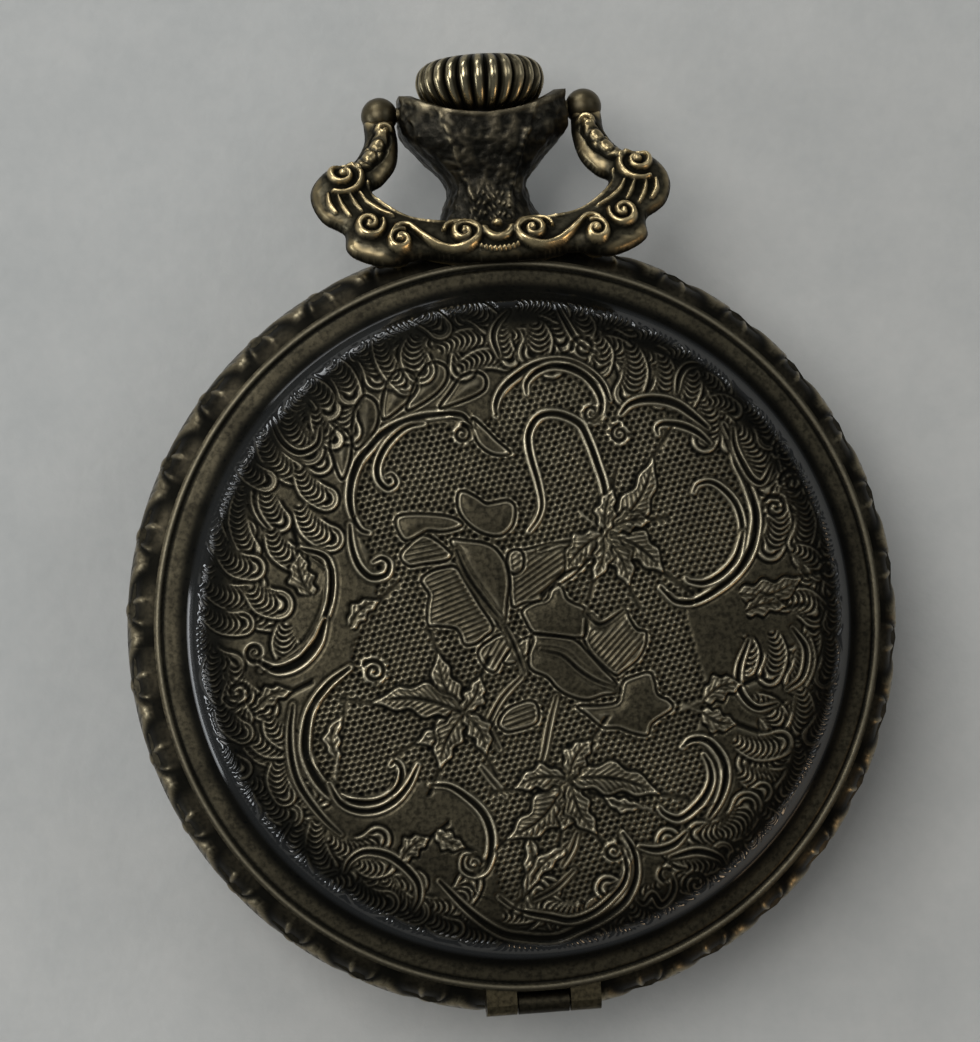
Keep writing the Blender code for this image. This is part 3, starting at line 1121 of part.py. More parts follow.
def escapement(brass, steel):
    """Pallet fork, balance, hairspring and regulator."""
    stone = ESCAPE_RADIUS + STONE_GAP
    stone_x = stone * math.cos(math.radians(30)) - PALLET_DISTANCE
    stone_y = stone / 2
    horn = 3 * IMPULSE_PIN_RADIUS
    notch = 1.4 * IMPULSE_PIN_RADIUS
    half = [(0.9 * FORK_REACH, notch), (FORK_REACH, notch), (FORK_REACH, horn), (0.84 * FORK_REACH, horn),
            (0.76 * FORK_REACH, 0.5 * horn), (0.14 * FORK_REACH, 0.5 * horn),
            (0.06 * FORK_REACH, 0.4 * stone_y),
            (0.5 * stone_x, 1.2 * stone_y), (stone_x, 1.15 * stone_y), (stone_x, stone_y),
            (0.65 * stone_x, 0.82 * stone_y), (0.45 * stone_x, 0.3 * stone_y)]
    outline = half + [(x, -y) for x, y in reversed(half)]
    lever = moved(prism(outline, THIRD_LOW, THIRD_HIGH), (0.0, 0.0, 0.0), ("Z", LEVER_BEARING))
    staff = stepped_arbor([(PIVOT_RADIUS, PALLET_COCK_LOW + END_SHAKE, PALLET_COCK_HIGH + END_SHAKE),
                           (0.8 * ARBOR_RADIUS, PALLET_COCK_HIGH + END_SHAKE, PLATE_LOW - END_SHAKE),
                           (PIVOT_RADIUS, PLATE_LOW - END_SHAKE, PLATE_HIGH - PLATE_FIT)])
    node("pallet_fork", united(lever, staff), steel, (*PALLET_AT, 0.0))

    roller_high = THIRD_LOW - SEAT_FIT
    roller_low = roller_high - PLATE_FIT
    rim = tube(BALANCE_RADIUS - BALANCE_RIM_WIDTH, BALANCE_RADIUS, BALANCE_LOW, BALANCE_HIGH, PLATE_FACETS)
    reach = BALANCE_RADIUS - BALANCE_RIM_WIDTH / 2
    web = BALANCE_THICK / 4
    arm = box((-reach, -BALANCE_ARM_WIDTH / 2, BALANCE_LOW + web),
              (reach, BALANCE_ARM_WIDTH / 2, BALANCE_HIGH - web))
    staff = stepped_arbor([(PIVOT_RADIUS, COCK_LOW + PLATE_FIT, COCK_HIGH + END_SHAKE),
                           (ARBOR_RADIUS, COCK_HIGH + END_SHAKE, BALANCE_LOW + END_SHAKE),
                           (2.4 * ARBOR_RADIUS, BALANCE_LOW + END_SHAKE, BALANCE_HIGH - END_SHAKE),
                           (ARBOR_RADIUS, BALANCE_HIGH - END_SHAKE, roller_low),
                           (IMPULSE_RADIUS + 2 * IMPULSE_PIN_RADIUS, roller_low, roller_high),
                           (ARBOR_RADIUS, roller_high, PLATE_LOW - END_SHAKE),
                           (PIVOT_RADIUS, PLATE_LOW - END_SHAKE, PLATE_HIGH - PLATE_FIT)])
    jewel = moved(rod(IMPULSE_PIN_RADIUS, roller_low + END_SHAKE, THIRD_HIGH + END_SHAKE, HOLE_FACETS),
                  (*polar(IMPULSE_RADIUS, LEVER_BEARING + 180.0), 0.0))
    node("balance_wheel", united(rim, arm, staff, jewel), brass, (*BALANCE_AT, 0.0))

    bm, gap = spiral(HAIRSPRING_INNER, HAIRSPRING_PITCH, HAIRSPRING_TURNS, HAIRSPRING_BLADE,
                     HAIRSPRING_LOW, HAIRSPRING_HIGH)
    print(f"hairspring least gap {gap * 1000:.3f} mm")
    node("hairspring", bm, steel, (*BALANCE_AT, 0.0))
    boss = 0.3 * COCK_FOOT_RADIUS + RUN_FIT
    index = prism(capsule((0.0, 0.0), 1.8 * boss, polar(0.9 * BALANCE_RADIUS, 60.0), 0.4 * boss),
                  COCK_LOW - END_SHAKE - PLATE_FIT, COCK_LOW - END_SHAKE, [circle(boss, facets=12)])
    node("regulator", index, steel, (*BALANCE_AT, 0.0))


def dial(finish):
    """Dial plate on three feet, with holes for the hands."""
    holes = [circle(HOUR_TUBE_OUTER + PLATE_FIT, facets=12), circle(PIVOT_HOLE + SEAT_FIT, FOURTH_AT)]
    bm = prism(circle(PLATE_RADIUS, facets=PLATE_FACETS), DIAL_LOW, DIAL_HIGH, holes)
    feet = [moved(rod(DIAL_FOOT_RADIUS, PLATE_LOW + PLATE_FIT, DIAL_LOW + SEAT_FIT, HOLE_FACETS), (*at, 0.0))
            for at in DIAL_FEET_AT]
    node("dial", united(bm, *feet), finish)


def hand(name, at, length, hub, hole, low, turn, finish):
    """Spade hand on a round hub, pointing at a bearing."""
    stem = 0.35 * hub
    spread = math.degrees(math.asin(stem / hub))
    blade = [(stem, 0.58 * length), (2.2 * stem, 0.70 * length), (0.7 * stem, 0.80 * length)]
    outline = arc(hub, 90.0 + spread, 450.0 - spread, 12) + blade + [(0.0, length)]
    outline += [(-x, y) for x, y in reversed(blade)]
    bm = prism(outline, low, low + HAND_THICK, [circle(hole, facets=12)])
    node(name, moved(bm, (0.0, 0.0, 0.0), ("Z", turn - 90.0)), finish, (*at, 0.0))


def hands(finish):
    """Hour, minute and small seconds hands, set to ten past ten."""
    rim = PLATE_RADIUS
    hand("hour_hand", CENTRE_AT, 0.5 * rim, 1.6 * HOUR_TUBE_OUTER, HOUR_TUBE_OUTER + RUN_FIT, HOUR_HAND_LOW,
         145.0, finish)
    hand("minute_hand", CENTRE_AT, 0.76 * rim, 1.8 * CANNON_OUTER, CANNON_OUTER + RUN_FIT, MINUTE_HAND_LOW,
         30.0, finish)
    hand("seconds_hand", FOURTH_AT, 0.14 * rim, 3 * PIVOT_HOLE, PIVOT_HOLE, SECONDS_LOW, 90.0, finish)


def main():
    """Clear the scene and build every piece."""
    for item in list(bpy.data.objects):
        bpy.data.objects.remove(item)
    bronze = material("antique_bronze", (0.15, 0.12, 0.08), 0.42, 0.9)
    worn = material("worn_bronze", (0.30, 0.23, 0.13), 0.36, 0.95)
    brass = material("gilt_brass", (0.66, 0.50, 0.24), 0.3, 1.0)
    steel = material("polished_steel", (0.55, 0.56, 0.58), 0.25, 1.0)
    blued = material("blued_steel", (0.03, 0.05, 0.16), 0.25, 1.0)
    enamel = material("white_enamel", (0.86, 0.84, 0.79), 0.25, 0.0)
    glass = material("crystal_glass", (0.95, 0.97, 0.97), 0.05, 0.0)
    case_band(bronze)
    front_lid(bronze)
    back_cover(bronze)
    hinge_pins(worn)
    case_springs(steel)
    pendant(bronze)
    crown(worn)
    bow(worn)
    bezel_and_crystal(worn, glass)
    mainplate(brass)
    bridges(brass)
    cocks(brass)
    screws(blued)
    going_train(brass)
    barrel(brass, steel)
    winding_work(steel)
    keyless_work(steel)
    motion_work(brass, steel)
    escapement(brass, steel)
    dial(enamel)
    hands(blued)


main()
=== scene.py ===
"""Looks of the bronze fob watch: engraved covers, cast bow, ribbed crown, dial and movement finishes."""
from __future__ import annotations

import logging
import math
from dataclasses import dataclass, field
from enum import Enum
from typing import Callable

import bmesh
import bpy
import numpy as np
from mathutils import Matrix, Vector, noise
from mathutils.bvhtree import BVHTree

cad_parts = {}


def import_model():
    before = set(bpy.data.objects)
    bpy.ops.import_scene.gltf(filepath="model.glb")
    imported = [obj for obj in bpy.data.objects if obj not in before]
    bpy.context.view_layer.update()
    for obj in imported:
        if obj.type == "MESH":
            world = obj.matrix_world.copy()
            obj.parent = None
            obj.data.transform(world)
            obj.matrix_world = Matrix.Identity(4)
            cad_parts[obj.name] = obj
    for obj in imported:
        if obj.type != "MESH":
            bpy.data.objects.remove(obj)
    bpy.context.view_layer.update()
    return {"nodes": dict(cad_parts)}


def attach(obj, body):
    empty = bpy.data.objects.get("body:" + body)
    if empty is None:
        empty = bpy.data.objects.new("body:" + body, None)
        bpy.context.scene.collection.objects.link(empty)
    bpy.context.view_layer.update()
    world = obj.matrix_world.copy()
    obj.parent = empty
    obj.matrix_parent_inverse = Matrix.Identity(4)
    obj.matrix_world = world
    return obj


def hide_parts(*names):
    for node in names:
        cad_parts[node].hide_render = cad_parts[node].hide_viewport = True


LOG = logging.getLogger("fob_watch")
MM = 0.001
PLAN_PITCH = 0.05
Point = tuple[float, float]
Triple = tuple[float, float, float]
Field = np.ndarray
Window = tuple[slice, slice]


def smooth_line(points: list[Point], per_span: int = 8, closed: bool = False) -> Field:
    """Draw a Catmull-Rom curve through given points.

    Args:
        points: Points in order.
        per_span: Samples in each span.
        closed: True where the last point runs on into the first.

    Returns:
        Samples of the curve, one row each.
    """
    path = np.array(points, dtype=float)
    if closed:
        padded = np.vstack([path[-1], path, path[0], path[1]])
    else:
        padded = np.vstack([2 * path[0] - path[1], path, 2 * path[-1] - path[-2]])
    t = np.linspace(0.0, 1.0, per_span, endpoint=False)[:, None]
    spans = []
    for a, b, c, d in zip(padded, padded[1:], padded[2:], padded[3:]):
        spans.append(0.5 * (2 * b + (c - a) * t + (2 * a - 5 * b + 4 * c - d) * t ** 2
                            + (3 * b - a - 3 * c + d) * t ** 3))
    samples = np.vstack(spans)
    return samples if closed else np.vstack([samples, path[-1]])


def smooth_step(value: Field, low: float, high: float) -> Field:
    """Ease from 0 to 1 between two values."""
    share = np.clip((value - low) / (high - low), 0.0, 1.0)
    return share * share * (3.0 - 2.0 * share)


def bell(value: Field, middle: float | Field, width: float | Field) -> Field:
    """Give a soft bump: 1 at its middle, fading over a width on both sides."""
    return np.exp(-((value - middle) / width) ** 2)


def half_round(gap: Field, radius: float | Field) -> Field:
    """Give the section of a half round: 1 in the middle, 0 from its radius on."""
    return np.sqrt(np.clip(1.0 - (gap / radius) ** 2, 0.0, 1.0))


def box_blur(values: Field, half: int, times: int = 2) -> Field:
    """Average a field over a square window, several times over.

    Args:
        values: Field of heights.
        half: Half width of the window in cells.
        times: Number of passes.

    Returns:
        The smoothed field.
    """
    for _ in range(times):
        for axis in (0, 1):
            wide = np.concatenate([np.repeat(np.take(values, [0], axis), half + 1, axis), values,
                                   np.repeat(np.take(values, [-1], axis), half, axis)], axis)
            total = np.cumsum(wide, axis)
            size = values.shape[axis]
            upper = np.take(total, np.arange(2 * half + 1, 2 * half + 1 + size), axis)
            values = (upper - np.take(total, np.arange(size), axis)) / (2 * half + 1)
    return values


class Relief:
    """A plan of engraving: ridges, cuts and swells in millimetres over a square of metal."""

    ROW_TURN = math.radians(-8.0)
    PIT: Point = (0.155, 0.12)
    SCATTER: Triple = (12.9898, 78.233, 43758.5453)

    def __init__(self, reach: float, pitch: float) -> None:
        """Lay out a blank plan.

        Args:
            reach: Half side of the square in millimetres.
            pitch: Cell size in millimetres.
        """
        self.reach = reach
        self.pitch = pitch
        self.axis = np.arange(-reach, reach + pitch, pitch)
        self.x, self.y = np.meshgrid(self.axis, self.axis)
        self.ridge = np.zeros_like(self.x)
        self.cut = np.zeros_like(self.x)
        self.swell = np.zeros_like(self.x)
        self.ground = np.zeros_like(self.x)

    def window(self, path: Field, margin: float) -> Window:
        """Find the cells around a path.

        Args:
            path: Points in millimetres.
            margin: Extra room round them.

        Returns:
            Row and column slices.
        """
        low = np.floor((path.min(0) - margin + self.reach) / self.pitch).astype(int)
        high = np.ceil((path.max(0) + margin + self.reach) / self.pitch).astype(int) + 1
        low = np.clip(low, 0, len(self.axis) - 2)
        high = np.clip(high, low + 1, len(self.axis))
        return slice(low[1], high[1]), slice(low[0], high[0])

    def trace(self, path: Field, margin: float) -> tuple[Window, Field, Field, Field]:
        """Measure the cells near a path.

        Args:
            path: Points in millimetres.
            margin: Distance up to which cells matter.

        Returns:
            The window, and the distance, share of the length and signed side of each of its cells.
        """
        area = self.window(path, margin)
        x, y = self.x[area], self.y[area]
        near = np.full(x.shape, 1e3)
        along = np.zeros(x.shape)
        side = np.ones(x.shape)
        lengths = np.concatenate([[0.0], np.cumsum(np.hypot(*np.diff(path, axis=0).T))])
        row0, col0 = area[0].start, area[1].start
        for index in range(len(path) - 1):
            piece = path[index:index + 2]
            rows, cols = self.window(piece, margin)
            part = (slice(rows.start - row0, rows.stop - row0),
                    slice(cols.start - col0, cols.stop - col0))
            dx, dy = x[part] - piece[0, 0], y[part] - piece[0, 1]
            ex, ey = piece[1] - piece[0]
            size = max(ex * ex + ey * ey, 1e-12)
            t = np.clip((dx * ex + dy * ey) / size, 0.0, 1.0)
            gap = np.hypot(dx - t * ex, dy - t * ey)
            closer = gap < near[part]
            near[part] = np.where(closer, gap, near[part])
            along[part] = np.where(closer, lengths[index] + t * math.sqrt(size), along[part])
            side[part] = np.where(closer, np.sign(ex * dy - ey * dx + 1e-9), side[part])
        return area, near, along / max(lengths[-1], 1e-9), side

    def inside(self, path: Field, area: Window) -> Field:
        """Test which cells of a window lie inside a closed outline.

        Args:
            path: Outline points.
            area: Window to test.

        Returns:
            Field of true and false.
        """
        x, y = self.x[area], self.y[area]
        held = np.zeros(x.shape, dtype=bool)
        for (x0, y0), (x1, y1) in zip(path, np.roll(path, -1, 0)):
            if y0 == y1:
                continue
            held ^= ((y0 > y) != (y1 > y)) & (x < (x1 - x0) * (y - y0) / (y1 - y0) + x0)
        return held

    def raise_ridge(self, area: Window, height: Field) -> None:
        """Keep the higher of two ridges."""
        self.ridge[area] = np.maximum(self.ridge[area], height)

    def sink_cut(self, area: Window, depth: Field) -> None:
        """Keep the deeper of two cuts."""
        self.cut[area] = np.maximum(self.cut[area], depth)

    def wipe(self, area: Window, keep: Field) -> None:
        """Take away earlier ridges and cuts, apart from a share to keep."""
        self.ridge[area] *= keep
        self.cut[area] *= keep

    def line(self, path: Field, width: float = 0.13, depth: float = 0.10, ridge: float = 0.06,
             taper: bool = True) -> None:
        """Cut one graver line with a burr on both sides.

        Args:
            path: Points in millimetres.
            width: Half width of the cut.
            depth: Depth of the cut.
            ridge: Height of the burrs.
            taper: True where the line thins towards its ends.
        """
        area, near, along, _ = self.trace(path, 4.5 * width)
        fade = 0.35 + 0.65 * np.sin(np.pi * np.clip(along, 0.02, 0.98)) ** 0.5 if taper else 1.0
        half = width * fade
        self.sink_cut(area, depth * fade * bell(near, 0.0, half))
        self.raise_ridge(area, ridge * fade * bell(near, 1.9 * half, 0.8 * half))

    def ribbon(self, path: Field, width: float, depth: float = 0.13, ridge: float = 0.10) -> None:
        """Cut a scroll: a dark channel between two bright ridges that taper to the ends.

        Args:
            path: Points in millimetres.
            width: Half width of the channel at its widest.
            depth: Depth of the channel.
            ridge: Height of its edges.
        """
        area, near, along, side = self.trace(path, width + 0.7)
        half = 0.8 * width * (0.25 + 0.75 * np.sin(np.pi * np.clip(along, 0.0, 1.0)) ** 0.8)
        self.wipe(area, smooth_step(near, half + 0.14, half + 0.26))
        self.sink_cut(area, depth * (1.0 - smooth_step(near, 0.45 * half, 0.45 * half + 0.14)))
        self.raise_ridge(area, ridge * bell(near, half + 0.03, 0.065) * np.where(side > 0, 1.0, 0.7))
        self.sink_cut(area, 0.6 * depth * bell(near, half + 0.20, 0.07))
        self.ground[area] *= smooth_step(near, half + 0.10, half + 0.24)

    def volute(self, centre: Point, radius: float, turns: float, start: float, hand: int) -> None:
        """Roll up the end of a scroll.

        Args:
            centre: Middle of the roll.
            radius: Its outer radius.
            turns: Number of turns.
            start: Angle of its outer end in degrees.
            hand: 1 to roll anticlockwise, -1 clockwise.
        """
        t = np.linspace(0.0, 1.0, 48)
        turn = math.radians(start) + hand * 2 * math.pi * turns * t
        reach = radius * (1.0 - 0.86 * t)
        path = np.column_stack([centre[0] + reach * np.cos(turn), centre[1] + reach * np.sin(turn)])
        area = self.window(path, 0.1)
        near = np.hypot(self.x[area] - centre[0], self.y[area] - centre[1])
        self.ground[area] *= smooth_step(near, radius, radius + 0.15)
        self.swell[area] += 0.05 * (1.0 - smooth_step(near, 0.3 * radius, radius))
        self.line(path, 0.11, 0.13, 0.09, taper=False)

    def leaf(self, path: Field, dome: float = 0.08, hatch: float | None = None, pitch: float = 0.30,
             cut: float = 0.05) -> None:
        """Raise a leaf or petal with a cut outline and optional hatching.

        Args:
            path: Closed outline.
            dome: Height at its middle.
            hatch: Angle of the hatch lines in degrees, or None for a plain leaf.
            pitch: Distance between hatch lines.
            cut: Depth of the hatch lines.
        """
        loop = np.vstack([path, path[:1]])
        area, near, _, _ = self.trace(loop, 0.9)
        held = self.inside(path, area)
        depth = np.where(held, np.minimum(near, 0.9), 0.0)
        self.swell[area] += dome * smooth_step(depth, 0.0, 0.7)
        self.ground[area] *= np.where(held, 0.0, smooth_step(near, 0.02, 0.2))
        if hatch is not None:
            turn = math.radians(hatch)
            across = self.y[area] * math.cos(turn) - self.x[area] * math.sin(turn)
            wave = np.cos(2 * math.pi * across / pitch)
            fade = np.where(held, smooth_step(near, 0.10, 0.32), 0.0)
            self.sink_cut(area, cut * fade * np.clip(-wave, 0.0, 1.0))
            self.raise_ridge(area, 0.6 * cut * fade * np.clip(wave, 0.0, 1.0) ** 2)
        self.line(loop, 0.065, 0.13, 0.09, taper=False)

    def lobe(self, base: Point, tip: Point, width: float, bend: float = 0.12, teeth: float = 3.0) -> None:
        """Raise one toothed leaf lobe with a middle vein and slanted side veins.

        Args:
            base: Root of the lobe.
            tip: Its tip.
            width: Full width.
            bend: How far its spine bows sideways, as a share of its length.
            teeth: Teeth along each edge.
        """
        span = np.array(tip) - np.array(base)
        length = float(np.hypot(*span))
        area = self.window(np.array([base, tip]), 0.75 * width + abs(bend) * length)
        dx, dy = self.x[area] - base[0], self.y[area] - base[1]
        along = (dx * span[0] + dy * span[1]) / length
        share = np.clip(along / length, 0.0, 1.0)
        across = (dy * span[0] - dx * span[1]) / length - bend * length * np.sin(np.pi * share)
        edge = 0.5 * width * np.sin(np.pi * share ** 0.75) ** 0.8
        edge *= 1.0 + 0.20 * np.sin(2 * np.pi * teeth * share)
        depth = np.where((along > 0.0) & (along < length), edge - np.abs(across), -np.abs(across))
        held = smooth_step(depth, 0.0, 0.10)
        self.swell[area] = self.swell[area] * (1.0 - held) + held * 0.10 * smooth_step(depth, 0.0, 0.55)
        self.wipe(area, 1.0 - held)
        self.ground[area] *= 1.0 - smooth_step(depth, -0.22, 0.0)
        self.sink_cut(area, 0.13 * bell(depth, -0.05, 0.085) * smooth_step(along, -0.05, 0.15))
        self.raise_ridge(area, 0.09 * bell(depth, 0.09, 0.06))
        spine = held * bell(across, 0.0, 0.075) * (1.0 - smooth_step(share, 0.75, 0.95))
        self.sink_cut(area, 0.13 * spine)
        veins = np.cos(2 * np.pi * (along - 1.2 * np.abs(across)) / 0.42)
        self.sink_cut(area, 0.09 * smooth_step(depth, 0.06, 0.22) * np.clip(-veins, 0.0, 1.0) ** 3)

    def frond(self, start: Point, heading: float, length: float, bend: float, half: float,
              pitch: float = 0.33) -> None:
        """Cut a feather of nested crescents along a bending stem, with a line round its tip.

        Args:
            start: Root of the stem.
            heading: Angle that the stem leaves at, in radians.
            length: Length of the stem.
            bend: Angle that the stem turns by, in radians; above 0 turns to the left.
            half: Half width of the feather.
            pitch: Distance between crescents.
        """
        angle = heading + bend * np.linspace(0.0, 1.0, 8)
        strides = length / 8 * np.column_stack([np.cos(angle), np.sin(angle)])
        path = np.vstack([[start], np.array(start) + np.cumsum(strides, 0)])
        area, near, along, flank = self.trace(path, half + 0.35)
        dx, dy = self.x[area] - start[0], self.y[area] - start[1]
        ahead = dx * math.cos(heading) + dy * math.sin(heading)
        front = np.where(along > 0.02, 1.0, smooth_step(ahead, -0.15, 0.05))
        wide = half * (0.55 + 0.45 * smooth_step(along, 0.0, 0.6))
        held = front * (1.0 - smooth_step(near, wide + 0.06, wide + 0.18))
        self.wipe(area, 1.0 - held)
        self.ground[area] *= 1.0 - held
        body = front * (1.0 - smooth_step(near, 0.80 * wide, 0.98 * wide))
        stroke = np.cos(2 * math.pi * (along * length + 0.8 * near ** 2 / wide) / pitch)
        self.raise_ridge(area, 0.07 * body * np.clip(stroke, 0.0, 1.0) ** 1.5)
        self.sink_cut(area, 0.13 * body * np.clip(-stroke, 0.0, 1.0))
        flanked = (flank * bend < 0) * smooth_step(along, 0.05, 0.2)
        outer = np.maximum(smooth_step(along, 0.45, 0.65), flanked)
        self.raise_ridge(area, 0.09 * outer * bell(near, wide + 0.03, 0.06))
        self.sink_cut(area, 0.12 * outer * bell(near, wide + 0.18, 0.07))

    def stipple(self, pitch: Point = (0.42, 0.34), depth: float = 0.18) -> None:
        """Punch the matted ground: small pits set like bricks.

        Args:
            pitch: Distance between pits along and across the rows.
            depth: Depth of a pit.
        """
        cos, sin = math.cos(self.ROW_TURN), math.sin(self.ROW_TURN)
        u = self.x * cos - self.y * sin + 0.05 * np.sin(0.9 * self.y + 0.7 * self.x)
        v = self.x * sin + self.y * cos + 0.05 * np.sin(1.1 * self.x)
        row = np.floor(v / pitch[1])
        column = u / pitch[0] + 0.5 * (row % 2)
        du = (column % 1.0 - 0.5) * pitch[0]
        dv = (v / pitch[1] - row - 0.5) * pitch[1]
        odd = np.sin(row * self.SCATTER[0] + np.floor(column) * self.SCATTER[1]) * self.SCATTER[2]
        strength = 0.65 + 0.35 * (odd - np.floor(odd))
        wide, tall = self.PIT
        pit = np.exp(-((du / wide) ** 2 + (dv / tall) ** 2) ** 1.4) * strength
        self.cut = np.maximum(self.cut, depth * self.ground * pit)
        self.swell -= 0.02 * self.ground

    def height(self) -> Field:
        """Add up the plan into one field of heights."""
        return box_blur(self.swell + self.ridge - self.cut, 1, 1)

    def sample(self, layer: Field, x: Field, y: Field) -> Field:
        """Read a field of the plan between its cells.

        Args:
            layer: The field.
            x: Places across in millimetres.
            y: Places up in millimetres.

        Returns:
            Interpolated values.
        """
        column, row = (x + self.reach) / self.pitch, (y + self.reach) / self.pitch
        i = np.clip(column.astype(int), 0, layer.shape[1] - 2)
        j = np.clip(row.astype(int), 0, layer.shape[0] - 2)
        a, b = column - i, row - j
        lower = layer[j, i] * (1 - a) + layer[j, i + 1] * a
        upper = layer[j + 1, i] * (1 - a) + layer[j + 1, i + 1] * a
        return lower * (1 - b) + upper * b


@dataclass
class DrawingSheet:
    """Drawing units of the engraving and how they lie on the metal."""

    centre: Point = (526.0, 624.0)
    unit: float = 0.0583
    turn: float = 3.6

    def place(self, points: list[Point]) -> list[Point]:
        """Turn drawing points into millimetres on the cover.

        Args:
            points: Points in drawing units, y downwards.

        Returns:
            Points in millimetres, y upwards.
        """
        cos, sin = math.cos(math.radians(self.turn)), math.sin(math.radians(self.turn))
        result = []
        for across, down in points:
            dx, dy = (across - self.centre[0]) * self.unit, (down - self.centre[1]) * self.unit
            result.append((dx * cos - dy * sin, -dx * sin - dy * cos))
        return result


CARTOUCHE: list[Point] = [
    (352, 470), (372, 440), (410, 418), (470, 425), (496, 405), (530, 366), (572, 360), (608, 392),
    (640, 398), (690, 405), (728, 424), (742, 465), (758, 510), (752, 552), (715, 592), (690, 606),
    (700, 650), (712, 700), (700, 735), (726, 765), (726, 795), (700, 826), (655, 846), (636, 880),
    (600, 916), (550, 924), (505, 905), (490, 860), (470, 800), (430, 785), (405, 785), (370, 806),
    (330, 792), (306, 750), (312, 708), (345, 672), (352, 640), (372, 605), (368, 560), (352, 520)]

SCROLLS: list[tuple[float, list[Point]]] = [
    (0.30, [(471, 425), (462, 415), (445, 414), (422, 417), (403, 423), (384, 433), (369, 448),
            (357, 465), (351, 485), (350, 503), (354, 519), (361, 530), (369, 533)]),
    (0.20, [(424, 424), (408, 427), (394, 437), (383, 451), (377, 467), (379, 481), (388, 489),
            (396, 483), (392, 475), (386, 477)]),
    (0.22, [(350, 525), (352, 547), (359, 566), (371, 577), (385, 575), (389, 564), (382, 558), (373, 562)]),
    (0.30, [(496, 416), (496, 403), (502, 390), (514, 378), (531, 367), (550, 361), (569, 361),
            (588, 369), (603, 382), (611, 399)]),
    (0.26, [(527, 393), (527, 382), (537, 371), (552, 365), (569, 366), (586, 374), (598, 388),
            (603, 403), (598, 416), (588, 420)]),
    (0.24, [(529, 531), (538, 518), (542, 503), (538, 481), (533, 464), (529, 447), (529, 432),
            (537, 418), (550, 413), (565, 415), (581, 424), (590, 441), (598, 463), (605, 485),
            (607, 507), (604, 525), (597, 538), (578, 541), (560, 543), (540, 550)]),
    (0.30, [(622, 413), (631, 403), (646, 398), (664, 398), (681, 403), (697, 414), (712, 426)]),
    (0.22, [(660, 433), (659, 426), (667, 422), (685, 424), (701, 431), (714, 442)]),
    (0.34, [(728, 422), (737, 442), (740, 460), (749, 478), (756, 496), (760, 515), (758, 535),
            (751, 555), (737, 574), (717, 590), (696, 601), (678, 601), (667, 592), (662, 587)]),
    (0.20, [(696, 491), (701, 483), (715, 481), (731, 492), (742, 508), (746, 530), (740, 549), (730, 565)]),
    (0.24, [(747, 531), (740, 555), (726, 572), (708, 582), (692, 581), (688, 578)]),
    (0.24, [(300, 548), (328, 560), (330, 600), (312, 640), (285, 662), (262, 670)]),
    (0.42, [(260, 661), (279, 669), (300, 661), (317, 642), (325, 620)]),
    (0.34, [(350, 667), (329, 683), (312, 707), (306, 734), (308, 757), (321, 782), (340, 797),
            (369, 802), (388, 795), (400, 782), (401, 767), (395, 760), (391, 764)]),
    (0.20, [(294, 704), (291, 730), (293, 759), (302, 786), (323, 815), (342, 833)]),
    (0.24, [(330, 782), (341, 801), (359, 809), (378, 808), (395, 799), (408, 784), (416, 768), (418, 764)]),
    (0.26, [(430, 784), (449, 785), (468, 797), (483, 812), (491, 831), (491, 851), (485, 868),
            (475, 873), (464, 868), (464, 856), (473, 853)]),
    (0.34, [(624, 833), (634, 849), (638, 866), (636, 883), (626, 902), (607, 917), (582, 929),
            (557, 939), (523, 937), (500, 931), (470, 910), (440, 880)]),
    (0.22, [(622, 847), (628, 864), (626, 881), (615, 896), (596, 912), (573, 920), (550, 916),
            (529, 912), (513, 906), (500, 896)]),
    (0.30, [(684, 747), (693, 740), (707, 740), (718, 749), (727, 764), (728, 782), (722, 801), (712, 818)]),
    (0.26, [(706, 755), (712, 766), (714, 780), (707, 797), (693, 812), (680, 819), (666, 814), (661, 808)]),
    (0.24, [(641, 847), (659, 850), (676, 845), (689, 833)]),
    (0.24, [(346, 870), (350, 860), (360, 852), (372, 850), (387, 853), (399, 860), (411, 871),
            (419, 883), (420, 897), (415, 909)]),
    (0.20, [(325, 895), (331, 907), (344, 915), (360, 916)]),
    (0.24, [(673, 858), (700, 852), (722, 858), (729, 866)]),
    (0.18, [(500, 356), (494, 337), (498, 323), (510, 309)]),
    (0.20, [(560, 300), (566, 316), (580, 340), (600, 352)]),
    (0.20, [(738, 426), (739, 443), (746, 460), (757, 477), (768, 480), (778, 462)]),
    (0.20, [(680, 391), (683, 374), (692, 363), (707, 361)]),
    (0.22, [(752, 640), (742, 668), (744, 692), (760, 708), (782, 704)]),
    (0.20, [(798, 628), (812, 650), (808, 676), (792, 690)]),
    (0.20, [(673, 874), (677, 887), (673, 900), (664, 906), (655, 895), (647, 904), (640, 900)]),
    (0.18, [(234, 777), (233, 793), (240, 808), (247, 812)]),
    (0.18, [(291, 822), (282, 838), (282, 858), (291, 873), (301, 879), (311, 881), (323, 875), (338, 870)]),
    (0.18, [(272, 419), (283, 442), (300, 453), (317, 445), (321, 428)])]

STEMS: list[list[Point]] = [
    [(525, 673), (502, 697), (489, 722), (491, 732), (500, 749)],
    [(557, 696), (550, 722), (544, 753), (537, 774)], [(481, 766), (494, 782), (506, 796)],
    [(505, 627), (512, 640), (525, 673)], [(541, 650), (562, 655), (580, 670), (596, 680), (616, 688)],
    [(456, 550), (464, 569), (475, 587), (491, 608), (502, 621)], [(531, 828), (529, 870), (523, 896)],
    [(569, 843), (552, 860), (536, 873)], [(578, 833), (572, 850), (563, 866)],
    [(575, 870), (556, 888), (534, 900)], [(587, 613), (601, 624), (624, 610)]]

